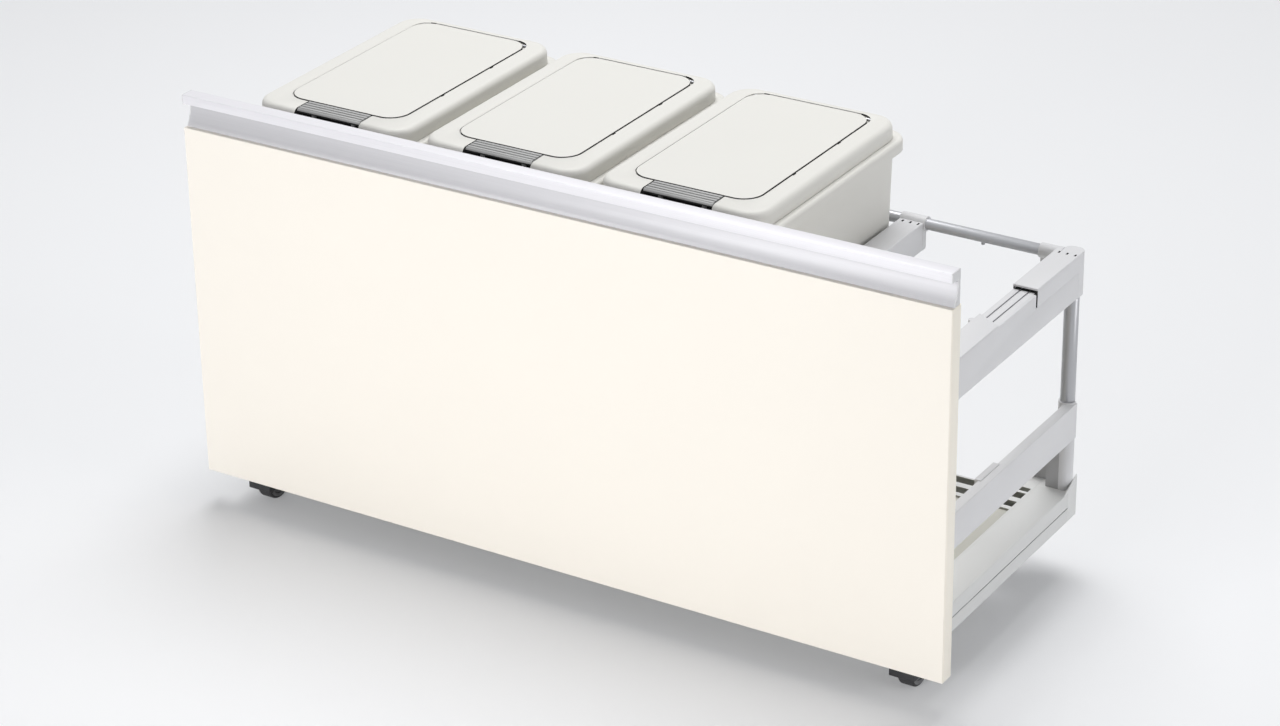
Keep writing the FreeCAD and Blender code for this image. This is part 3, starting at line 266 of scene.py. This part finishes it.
def drawn_metal(name, color, roughness, contrast, metallic=0.9):
    """An aluminium or steel finish with lines along its length."""
    material = bpy.data.materials.new(name)
    material.use_nodes = True
    tree = material.node_tree
    shader = tree.nodes["Principled BSDF"]
    shader.inputs["Metallic"].default_value = metallic
    group = tree.nodes.new("ShaderNodeGroup")
    group.node_tree = drawn
    group.inputs["Color"].default_value = (*color, 1)
    group.inputs["Roughness"].default_value = roughness
    group.inputs["Contrast"].default_value = contrast
    relief = tree.nodes.new("ShaderNodeBump")
    relief.inputs["Strength"].default_value = LINE_STRENGTH
    relief.inputs["Distance"].default_value = LINE_DEPTH
    wire(tree,
         (group.outputs["Color"], shader.inputs["Base Color"]),
         (group.outputs["Roughness"], shader.inputs["Roughness"]),
         (group.outputs["Height"], relief.inputs["Height"]),
         (relief.outputs["Normal"], shader.inputs["Normal"]))
    return material


FINISH["anodised"] = drawn_metal("anodised_aluminium", (0.78, 0.77, 0.80), 0.5, 0.10, metallic=0.25)
FINISH["steel"] = drawn_metal("zinc_plated_steel", (0.58, 0.58, 0.60), 0.38, 0.12)
print("finishes:", sorted(FINISH))


# %% [markdown]
# ## Dress every node
#
# Each CAD node has one material slot. The record names the finish that belongs to it, so a loop
# over the nodes dresses the whole wagon before any extra piece is made.

# %% Give each node its finish
for name, thing in nodes.items():
    thing.data.materials.clear()
    thing.data.materials.append(FINISH[SLOT_OF[name]])
print("dressed", len(nodes), "nodes")


# %% [markdown]
# ## Second tones
#
# Some faces of a moulding never look like the rest of it. Deep in a narrow gap hardly any light
# comes back out, so the gap's faces get a painted shade, near black. A groove or a slot gets a
# milder painted shade, and so do the corner behind a rear post and the strips of a button between
# its ribs. The sunk floor of the bottle bay gets a painted shade with a slight olive tint. The band
# on each end of the front board is a strip of its own, a little paler and warmer than the board's
# face, and a caster's wheel has a paler core in its tyre. The grip rail's hollow face looks at the
# floor and not at the lamps, so it is painted a shade greyer.

# %% Make the second tones
TONE = {
    # Painted shade, near black, inside narrow gaps.
    "gap": skinned("gap_painted_shade", (0.018, 0.018, 0.017), 0.8, dust=0.0),
    # Milder painted shade in grooves.
    "groove": skinned("groove_painted_shade", (0.46, 0.46, 0.48), 0.7, dust=0.0),
    "slot": skinned("slot_shade", (0.30, 0.30, 0.265), 0.7, dust=0.0),
    # Painted shade with a slight olive tint on the bottle bay's sunk floor.
    "sunk": skinned("sunk_floor_painted_shade", (0.56, 0.555, 0.505), 0.6, dust=0.0),
    "band": skinned("edge_band_cream", (0.97, 0.92, 0.82), 0.45, drift=0.01, grain=500, dust=0.0),
    # Painted shade on the front of the post cover's web.
    "corner": skinned("post_web_painted_shade", (0.42, 0.42, 0.43), 0.55),
    # Painted shade on a button's top between its ribs.
    "rib": skinned("rib_shade", (0.06, 0.06, 0.059), 0.6, dust=0.0),
    "core": skinned("wheel_core_plastic", (0.16, 0.16, 0.165), 0.5),
    # Painted shade: the grip rail's hollow face, greyer than the rest of the rail.
    "hollow": drawn_metal("grip_hollow_painted_shade", (0.59, 0.585, 0.605), 0.5, 0.10, metallic=0.25),
}
print("second tones:", sorted(TONE))


# %% [markdown]
# ## Eased edges
#
# No moulded or folded edge is truly sharp: each has a small radius that catches a thin line of
# light. The CAD solids keep their edges sharp to stay simple. So each node that shows gets a copy
# whose edges are eased with a Bevel modifier. Faces that lie in one plane are joined first, because
# the bevel needs real edges and not the triangles that the file arrives with. The copy stands for
# its node, and a list of rules gives some of its faces a second tone. A rule finds its faces by their
# place, often with the helper short_of, and by how much their normal points along an axis.

# %% A helper that eases a node's edges
MM = 0.001
SAME_POINT = 1e-6            # corners this near to each other are joined
ON_CUT = 1e-7                # corners this near to a cut lie on it
FLAT_ANGLE = math.radians(0.4)
SHARP_ANGLE = math.radians(30)
A_LITTLE, MOSTLY, STRAIGHT = 0.3, 0.5, 0.9    # how much of a face's normal points along an axis


def short_of(value, edge, far, near):
    """Tell whether a value stays short of an edge by between far and near millimetres."""
    return edge - far * MM < value < edge - near * MM


def new_object(name, data):
    """Make an object that holds the data, and put it into the scene."""
    made = bpy.data.objects.new(name, data)
    bpy.context.scene.collection.objects.link(made)
    return made


def eased(node, width, segments=2, rules=(), cuts=()):
    """Replace a node by a copy with eased edges.

    A rule is a tone and a test, and the test sees a face's middle and its normal. A cut is a point
    and a normal of a plane that parts the faces there, so that a rule can tone one side of it.
    """
    mesh = bpy.data.meshes.new(f"{node}_eased")
    shape = bmesh.new()
    shape.from_mesh(nodes[node].data)
    bmesh.ops.remove_doubles(shape, verts=shape.verts, dist=SAME_POINT)
    bmesh.ops.dissolve_limit(shape, angle_limit=FLAT_ANGLE, verts=shape.verts, edges=shape.edges)
    for point, normal in cuts:
        parts = list(shape.verts) + list(shape.edges) + list(shape.faces)
        bmesh.ops.bisect_plane(shape, geom=parts, plane_co=point, plane_no=normal, dist=ON_CUT)
    mesh.materials.append(FINISH[SLOT_OF[node]])
    tones = []
    for tone, _ in rules:
        if tone not in tones:
            tones.append(tone)
            mesh.materials.append(TONE[tone])
    for face in shape.faces:
        face.smooth = True
        middle = face.calc_center_median()
        for tone, test in rules:
            if test(middle, face.normal):
                face.material_index = 1 + tones.index(tone)
                break
    shape.to_mesh(mesh)
    shape.free()
    piece = new_object(f"{node}_eased", mesh)
    bevel = piece.modifiers.new("eased_edges", "BEVEL")
    bevel.width = width
    bevel.segments = segments
    bevel.limit_method = "ANGLE"
    bevel.angle_limit = SHARP_ANGLE
    bevel.harden_normals = True
    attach(piece, BODY_OF[node])
    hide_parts(node)


print("edges sharper than", round(math.degrees(SHARP_ANGLE)), "degrees will be eased")


# %% [markdown]
# ## The front board and its grip rail
#
# The board is a laminated panel. Its face wraps over eased long edges, and its two ends are closed
# with an edge band. The band is glued on, so it stands a hair proud and shows as a strip of its own.
# The grip rail gets a very small radius, because an extrusion's edges are crisp.

# %% Ease the board, band its ends, and ease the grip rail
BAND_PROUD = 0.5 * MM        # how far a band stands out from the board's end
BAND_SETBACK = 0.9 * MM      # how far it stays back from the board's face
BAND_INSET = 0.2 * MM        # how far it stays inside the board's other edges
BAND_EASING = 0.2 * MM
NOSE_DROP = 9.5 * MM         # from the grip rail's top down to the hollow under its nose
BACK_WALL = 2 * MM           # the part of the grip rail that keeps its own tone
LEAN = 0.2                   # a face counts when its normal leans forward or down by more than this
board_low, board_high = (Vector(corner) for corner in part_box("front_panel"))
grip_high = Vector(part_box("grip_rail")[1])
eased("front_panel", 0.25 * MM)


def plate(name, low, high, width, finish, body):
    """A thin plate with eased edges between two corners."""
    mesh = bpy.data.meshes.new(name)
    shape = bmesh.new()
    bmesh.ops.create_cube(shape, size=1.0)
    for corner in shape.verts:
        corner.co = Vector([(start + end) / 2 + share * (end - start)
                            for start, end, share in zip(Vector(low), Vector(high), corner.co)])
    bmesh.ops.bevel(shape, geom=shape.edges[:], offset=width, segments=2, profile=0.5, affect="EDGES")
    for face in shape.faces:
        face.smooth = True
    shape.to_mesh(mesh)
    shape.free()
    mesh.materials.append(finish)
    piece = new_object(name, mesh)
    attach(piece, body)


def pull_face(middle, normal):
    """The grip rail's hollow face and the recess under its nose, which are painted a shade greyer."""
    placed = middle.z < grip_high.z - NOSE_DROP and middle.y < grip_high.y - BACK_WALL
    return placed and (normal.y < -LEAN or normal.z < -LEAN)


for side, name in ((-1, "edge_band_left"), (1, "edge_band_right")):
    ends = sorted((side * board_high.x, side * (board_high.x + BAND_PROUD)))
    low = (ends[0], board_low.y + BAND_SETBACK, board_low.z + BAND_INSET)
    high = (ends[1], board_high.y - BAND_INSET, board_high.z - BAND_INSET)
    plate(name, low, high, BAND_EASING, TONE["band"], "frame")
eased("grip_rail", 0.25 * MM, rules=[("hollow", pull_face)])
eased("grip_end_caps", 0.2 * MM)
print("board is", round((board_high.y - board_low.y) / MM, 1), "mm thick")


# %% [markdown]
# ## The open frame
#
# The side rails have two grooves in their tops, and the corner joint's hood stands a few
# millimetres over the rail, so a black line of shade shows under its front lip and beside its
# skirt. Those faces, and the walls of the snap openings, get a painted shade, near black, and the
# grooves a milder painted shade. The rules below find those faces by their place: under the hood,
# beside the skirt, or down in a groove.

# %% Ease the rails, joints and tubes
hood_low, hood_high = (Vector(corner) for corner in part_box("rear_joint_right"))
rail_low, rail_high = (Vector(corner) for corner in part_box("upper_rail_right"))
cover_high = Vector(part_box("post_cover_right")[1])
CLOSE = 0.2 * MM             # a face this near to a place counts as being there
HOOD_PLATE = 2 * MM          # thickness of the hood's top
STEP_REACH = 4 * MM          # the step's dark part starts this far in front of the lip
WEB_INSET = 12 * MM          # from the post cover's outer face in to its web
skirt_in = rail_high.x - 3.2 * MM
lip_y = hood_low.y


# Painted shade, near black, on the rail's top under the hood and on the step beside the skirt.
def under_hood(middle, normal):
    """The rail's top under the hood, and its step beside the skirt."""
    on_top = normal.z > MOSTLY and middle.y > lip_y - CLOSE
    on_step = abs(abs(middle.x) - skirt_in) < CLOSE and middle.y > lip_y - STEP_REACH
    return on_top or on_step


# Milder painted shade in the grooves.
def in_groove(middle, normal):
    """Walls and floors of the two grooves in a side rail's top."""
    across = rail_low.x + 5 * MM < abs(middle.x) < rail_high.x - 4 * MM
    return across and short_of(middle.z, rail_high.z, 1.6, 0.2)


# Painted shade, near black, on the walls of the snap openings.
def in_snap(middle, normal):
    """Walls of the small openings that the joint's catches snap into."""
    level = short_of(middle.z, hood_high.z, 1.9, 0.3)
    across = rail_low.x + 4 * MM < abs(middle.x) < rail_high.x - 1.5 * MM
    return level and across and abs(normal.z) < A_LITTLE and short_of(middle.y, rail_high.y, 7, 1)


def skirt_front(middle, normal):
    """Front edges of the hood's skirt and lip, which stand in the shade of the hood."""
    at_lip = abs(middle.y - lip_y) < CLOSE and middle.z < hood_high.z - HOOD_PLATE
    return at_lip and normal.y < -STRAIGHT


def corner_web(middle, normal):
    """Front of the post cover's web in the frame's darkest corner, which gets a painted shade."""
    return normal.y < -MOSTLY and abs(middle.x) < cover_high.x - WEB_INSET


for side in ("right", "left"):
    eased(f"upper_rail_{side}", 0.25 * MM, rules=[("gap", under_hood), ("groove", in_groove)],
          cuts=[((0, lip_y, 0), (0, 1, 0))])
    eased(f"rear_joint_{side}", 0.35 * MM, rules=[("gap", in_snap), ("gap", skirt_front)],
          cuts=[((0, 0, hood_high.z - HOOD_PLATE), (0, 0, 1))])
    eased(f"rail_bracket_{side}", 0.3 * MM)
    eased(f"middle_rail_{side}", 0.3 * MM)
    eased(f"post_cover_{side}", 0.35 * MM, rules=[("corner", corner_web)])
    eased(f"rear_post_{side}", 0.15 * MM, segments=1)
    eased(f"front_upright_{side}", 0.2 * MM, segments=1)
eased("rear_tube", 0.15 * MM, segments=1)
eased("middle_rail_clips", 0.3 * MM)
print("hood gap:", round((hood_high.z - HOOD_PLATE - rail_high.z) / MM, 2), "mm")


# %% [markdown]
# ## The partition
#
# The partition is a folded rail. Three catches of the hook show through small openings near its
# rear end. The hook's tongue lies just under them, so its top face gets a painted shade, near black,
# and so do the walls of the openings.

# %% Ease the partition
partition_low, partition_high = (Vector(corner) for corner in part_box("partition_rail"))
REAR_END = 140 * MM          # the openings lie behind this


def tongue_top(middle, normal):
    """Top face of the hook's tongue, under the rail's openings."""
    return normal.z > STRAIGHT and short_of(middle.z, rail_high.z, 2.2, 1.4)


def partition_opening(middle, normal):
    """Walls of the openings in the partition rail's top."""
    across = partition_low.x + 4 * MM < middle.x < partition_high.x - 1 * MM
    wall = abs(normal.z) < A_LITTLE and short_of(middle.z, rail_high.z, 1.7, 0.2)
    return across and wall and middle.y > REAR_END


# The walls of the openings and the tongue's top get a painted shade, near black.
eased("partition_rail", 0.25 * MM, rules=[("gap", partition_opening)])
eased("partition_hook", 0.3 * MM, rules=[("gap", tongue_top)])
eased("partition_bracket", 0.2 * MM, segments=1)
print("partition is", round((partition_high.x - partition_low.x) / MM, 1), "mm wide")


# %% [markdown]
# ## The base
#
# The tray's slots look dark, because little light gets down into them. Their walls and the hollows
# below get a painted shade, and the sunk floor of the bottle bay gets a painted shade with a slight
# olive tint. A groove line along each side channel gets a milder painted shade.

# %% Ease the base
tray_low, tray_high = (Vector(corner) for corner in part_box("base_tray"))
channel_high = Vector(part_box("base_channel_right")[1])
CUTOUT_EDGE = tray_high.y - 41 * MM
SLOT_END = CUTOUT_EDGE + 14 * MM
BAY_START = 200 * MM         # the bottle bay lies to the right of this
LINE_HEIGHT = 77.6 * MM      # of the groove line along a side channel
LINE_HALF = 0.9 * MM


def in_slot(middle, normal):
    """Walls of the slots and of the hollows under the tray, but not the open rear walls of the tray."""
    below = middle.z < tray_high.z - 0.3 * MM
    rear_wall = normal.y > STRAIGHT and middle.y > CUTOUT_EDGE - 1 * MM
    inside = abs(middle.x) < tray_high.x - 1 * MM and tray_low.y + 1 * MM < middle.y < SLOT_END
    return below and inside and not rear_wall and not sunk_floor(middle, normal)


# Painted shade with a slight olive tint on the bay's sunk floor.
def sunk_floor(middle, normal):
    """Floor of the bottle bay, a little below the tray's top."""
    sunk = normal.z > STRAIGHT and short_of(middle.z, tray_high.z, 3, 1)
    return sunk and middle.x > BAY_START


# Milder painted shade along the channel's groove line.
def channel_line(middle, normal):
    """Groove along a side channel's outer face."""
    in_line = abs(middle.z - LINE_HEIGHT) < LINE_HALF
    return in_line and short_of(abs(middle.x), channel_high.x, 1.4, 0.2)


eased("base_tray", 0.3 * MM, rules=[("sunk", sunk_floor), ("slot", in_slot)])
for side in ("right", "left"):
    eased(f"base_channel_{side}", 0.3 * MM, rules=[("groove", channel_line)])
    eased(f"base_cap_{side}", 0.3 * MM)
print("tray top at", round(tray_high.z / MM, 1), "mm")


# %% [markdown]
# ## The casters
#
# A small wheel has a black tyre on a paler core. Both belong to one CAD node, so a rule tells them
# apart by the distance from the axle. Fork, plate and pedal are black mouldings with soft edges.

# %% Ease the casters
CORNERS = ("front_right", "front_left", "rear_right", "rear_left")
PEDAL_CORNERS = CORNERS[:2]  # only the front casters have a lock pedal
CORE_RADIUS = 14.2 * MM


def core_of(node):
    """Make a test for the faces of a wheel's core."""
    low, high = (Vector(corner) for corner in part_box(node))
    middle_y, middle_z = (low.y + high.y) / 2, (low.z + high.z) / 2

    def test(middle, normal):
        return math.hypot(middle.y - middle_y, middle.z - middle_z) < CORE_RADIUS

    return test


for corner in CORNERS:
    wheel = f"caster_wheel_{corner}"
    eased(wheel, 0.3 * MM, rules=[("core", core_of(wheel))])
    eased(f"caster_fork_{corner}", 0.5 * MM)
    eased(f"caster_axle_{corner}", 0.4 * MM)
for corner in PEDAL_CORNERS:
    eased(f"lock_pedal_{corner}", 0.6 * MM)
eased("caster_plates", 0.3 * MM)
print("casters:", len(CORNERS))


# %% [markdown]
# ## The bins
#
# Each bin is a pale tub with a rolled rim and a framed lid. The flap stands a little proud in a
# narrow gap, and that gap reads as a dark line. The gap's walls and the flap's narrow sides get a
# painted shade, near black, apart from the gap's left wall, which the light reaches. The pocket
# under the push button and the face at the button's front get the same painted shade.

# %% Ease the bins, lids and flaps
BINS = (1, 2, 3)
WALL_DEPTH = 2.4 * MM        # the gap's walls are dark down to this far below the lid's top
SIDE_REACH = 3 * MM          # reach of the gap beside the flap and before it
HINGE_REACH = 5 * MM         # and behind it
LIT_WIDTH = 24 * MM          # the left wall lies within this distance of the flap's left side
LIT_START = 10 * MM          # and starts this far behind the flap's front side
BUTTON_REACH = 2 * MM        # reach of the pocket on both sides of the button
FACES_FRONT = 0.97           # a button's nose is where it looks almost straight ahead
FACES_UP = 0.95


def gap_of(number):
    """Make a test for the faces with painted shade in one lid's gap and in its button pocket."""
    flap_low, flap_high = (Vector(corner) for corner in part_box(f"flap_{number}"))
    lid_low, lid_high = (Vector(corner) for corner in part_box(f"lid_frame_{number}"))
    button_low, button_high = (Vector(corner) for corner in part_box(f"push_button_{number}"))

    def test(middle, normal):
        at_left = middle.x < flap_low.x + LIT_WIDTH and middle.y > flap_low.y + LIT_START
        if not short_of(middle.z, lid_high.z, 16, 0.3) or (at_left and normal.x > A_LITTLE):
            return False
        on_wall = abs(normal.z) < MOSTLY and middle.z > lid_high.z - WALL_DEPTH
        beside_flap = flap_low.x - SIDE_REACH < middle.x < flap_high.x + SIDE_REACH
        along_flap = flap_low.y - SIDE_REACH < middle.y < flap_high.y + HINGE_REACH
        beside_button = button_low.x - BUTTON_REACH < middle.x < button_high.x + BUTTON_REACH
        before_flap = lid_low.y - 1 * MM < middle.y < flap_low.y + 1 * MM
        in_pocket = beside_button and before_flap and middle.z > button_low.z
        return (beside_flap and along_flap and on_wall) or in_pocket

    return test


def flap_side(number):
    """Make a test for the flap's narrow sides, which get a painted shade."""
    flap_high = Vector(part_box(f"flap_{number}")[1])

    def test(middle, normal):
        return short_of(middle.z, flap_high.z, 2.7, 0.12) and -MOSTLY < normal.z < STRAIGHT

    return test


def button_nose(number):
    """Make a test for the face that wraps down at a button's front and gets a painted shade."""
    low = Vector(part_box(f"push_button_{number}")[0])

    def test(middle, normal):
        return normal.y < -FACES_FRONT and middle.y < low.y + 3 * MM

    return test


def button_top(number):
    """Make a test for a button's flat top between its ribs, which gets a painted shade."""
    high = Vector(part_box(f"push_button_{number}")[1])

    def test(middle, normal):
        return normal.z > FACES_UP and middle.z > high.z - CLOSE

    return test


for number in BINS:
    eased(f"bin_body_{number}", 0.4 * MM)
    eased(f"lid_frame_{number}", 0.35 * MM, rules=[("gap", gap_of(number))])
    eased(f"flap_{number}", 0.2 * MM, rules=[("gap", flap_side(number))])
    eased(f"push_button_{number}", 0.3 * MM,
          rules=[("gap", button_nose(number)), ("rib", button_top(number))])
print("bins:", len(BINS))


# %% [markdown]
# ## Ribs on the push buttons
#
# A finger needs some hold on a button that is pressed near its front edge. The real one has a few
# ribs along its length. They are thin bars with eased edges, laid side by side on the button's flat
# top, and they ride down with it.

# %% Lay the ribs
RIB_PITCH = 5.2 * MM
RIB_HALF = 1.7 * MM          # half a rib's width
RIB_START = 4.4 * MM         # from the button's front edge to the middle of the first rib
RIB_INSET = 0.6 * MM         # from a rib's end to the button's end
RIB_SUNK, RIB_PROUD = 0.2 * MM, 0.5 * MM
RIB_EASING = 0.25 * MM
for number in BINS:
    low, high = (Vector(corner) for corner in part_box(f"push_button_{number}"))
    row = low.y + RIB_START
    count = 0
    while row < high.y - RIB_HALF:
        plate(f"button_rib_{number}_{count}",
              (low.x + RIB_INSET, row - RIB_HALF, high.z - RIB_SUNK),
              (high.x - RIB_INSET, row + RIB_HALF, high.z + RIB_PROUD),
              RIB_EASING, FINISH["button_grey"], f"button_{number}")
        row += RIB_PITCH
        count += 1
print("ribs on each button:", count)


# %% [markdown]
# ## The floor
#
# The wagon stands on a pale, flat floor. Near the wagon the lamps light that floor as they light any
# other, so it keeps the wagon's shadow. Farther off it fades into an even backdrop tone, which only
# the rays that look at the floor can see, so the backdrop adds no light to the wagon.

# %% Make the floor
BACKDROP = (0.82, 0.83, 0.85, 1)
FLOOR_COLOUR = (0.92, 0.925, 0.94, 1)
NEAR_SHARE = 0.2             # how much of the backdrop tone shows near the wagon
FADE_FROM, FADE_TO = 2.0, 4.5
REACH = 14.0                 # metres of floor each way from the middle


def seen_directly(tree):
    """Return a value that is 1 for rays that look at a surface and 0 for rays that light one."""
    path = tree.nodes.new("ShaderNodeLightPath")
    looks = new_node(tree, "ShaderNodeMath", operation="ADD")
    every = new_node(tree, "ShaderNodeMath", operation="ADD", use_clamp=True)
    wire(tree,
         (path.outputs["Is Camera Ray"], looks.inputs[0]),
         (path.outputs["Is Glossy Ray"], looks.inputs[1]),
         (looks.outputs[0], every.inputs[0]),
         (path.outputs["Is Transmission Ray"], every.inputs[1]))
    return every.outputs[0]


def make_floor_paint():
    """A matt pale floor that fades into the backdrop tone."""
    paint = bpy.data.materials.new("studio_floor_paint")
    paint.use_nodes = True
    tree = paint.node_tree
    matt = tree.nodes["Principled BSDF"]
    matt.inputs["Base Color"].default_value = FLOOR_COLOUR
    matt.inputs["Roughness"].default_value = 0.75
    matt.inputs["Specular IOR Level"].default_value = 0.15
    place = tree.nodes.new("ShaderNodeTexCoord")
    distance = new_node(tree, "ShaderNodeVectorMath", operation="LENGTH")
    fade = tree.nodes.new("ShaderNodeMapRange")
    fade.inputs["From Min"].default_value = FADE_FROM
    fade.inputs["From Max"].default_value = FADE_TO
    fade.inputs["To Min"].default_value = NEAR_SHARE
    fade.inputs["To Max"].default_value = 1.0
    share = new_node(tree, "ShaderNodeMath", operation="MULTIPLY")
    glow = tree.nodes.new("ShaderNodeEmission")
    glow.inputs["Color"].default_value = BACKDROP
    mixed = tree.nodes.new("ShaderNodeMixShader")
    wire(tree,
         (place.outputs["Object"], distance.inputs[0]),
         (distance.outputs["Value"], fade.inputs["Value"]),
         (fade.outputs["Result"], share.inputs[0]), (seen_directly(tree), share.inputs[1]),
         (share.outputs[0], mixed.inputs[0]),
         (matt.outputs[0], mixed.inputs[1]), (glow.outputs[0], mixed.inputs[2]),
         (mixed.outputs[0], tree.nodes["Material Output"].inputs["Surface"]))
    return paint


floor_mesh = bpy.data.meshes.new("studio_floor")
corners = [(-REACH, -REACH, 0), (REACH, -REACH, 0), (REACH, REACH, 0), (-REACH, REACH, 0)]
floor_mesh.from_pydata(corners, [], [(0, 1, 2, 3)])
floor_mesh.materials.append(make_floor_paint())
floor = new_object("studio_floor", floor_mesh)
print("floor reaches", REACH, "m each way")


# %% [markdown]
# ## Lamps and surround
#
# A big soft lamp hangs overhead and a little behind, so a short shadow falls to the front. A low one
# lights the front board, and a weak one fills the right side. The surround gives the rest of the
# light, and rays that look past the wagon see the backdrop tone in its place.

# %% Set the lamps and the surround
def soft_lamp(name, place, aim, size, watts):
    """A square area lamp that looks at a point."""
    lamp = bpy.data.lights.new(name, "AREA")
    lamp.shape = "SQUARE"
    lamp.size = size
    lamp.energy = watts
    holder = new_object(name, lamp)
    holder.location = place
    holder.rotation_euler = (Vector(aim) - Vector(place)).to_track_quat("-Z", "Y").to_euler()


soft_lamp("key_lamp", (-0.3, -4.2, 1.0), (0, 0, 0.3), 1.8, 94)
soft_lamp("top_lamp", (-0.4, 1.0, 3.4), (0, 0, 0.1), 2.2, 87)
soft_lamp("right_fill", (3.4, 0.2, 1.0), (0, 0, 0.25), 1.6, 25)
world = bpy.data.worlds.new("studio_surround")
world.use_nodes = True
sky = world.node_tree
lit = sky.nodes["Background"]
lit.inputs["Color"].default_value = (0.97, 0.985, 1.0, 1)
lit.inputs["Strength"].default_value = 0.26
seen = sky.nodes.new("ShaderNodeBackground")
seen.inputs["Color"].default_value = BACKDROP
either = sky.nodes.new("ShaderNodeMixShader")
wire(sky,
     (seen_directly(sky), either.inputs[0]),
     (lit.outputs[0], either.inputs[1]), (seen.outputs[0], either.inputs[2]),
     (either.outputs[0], sky.nodes["World Output"].inputs["Surface"]))
bpy.context.scene.world = world
bpy.context.scene.view_settings.view_transform = "Standard"


# %% [markdown]
# ## Camera
#
# The photograph was taken from the right, above, and from some distance with a long lens. The
# numbers below come from fitting a camera to the corners of the front and of the frame.

# %% Place the camera
PHOTO_WIDTH = 1280
FOCAL_PIXELS = 3648.1
SENSOR_WIDTH = 36.0
HEADING, TILT, ROLL = (math.radians(angle) for angle in (31.852, 26.028, 0.805))
CAMERA_PLACE = (1.8215, -2.9301, 1.8899)
camera_data = bpy.data.cameras.new("photo_camera")
camera_data.sensor_width = SENSOR_WIDTH
camera_data.lens = FOCAL_PIXELS / PHOTO_WIDTH * SENSOR_WIDTH
camera = new_object("photo_camera", camera_data)
heading = Matrix.Rotation(HEADING, 4, "Z")
pitch = Matrix.Rotation(math.pi / 2 - TILT, 4, "X")
roll = Matrix.Rotation(-ROLL, 4, "Z")
camera.matrix_world = Matrix.Translation(CAMERA_PLACE) @ (heading @ pitch @ roll)
bpy.context.scene.camera = camera
print("lens:", round(camera_data.lens, 1), "mm")
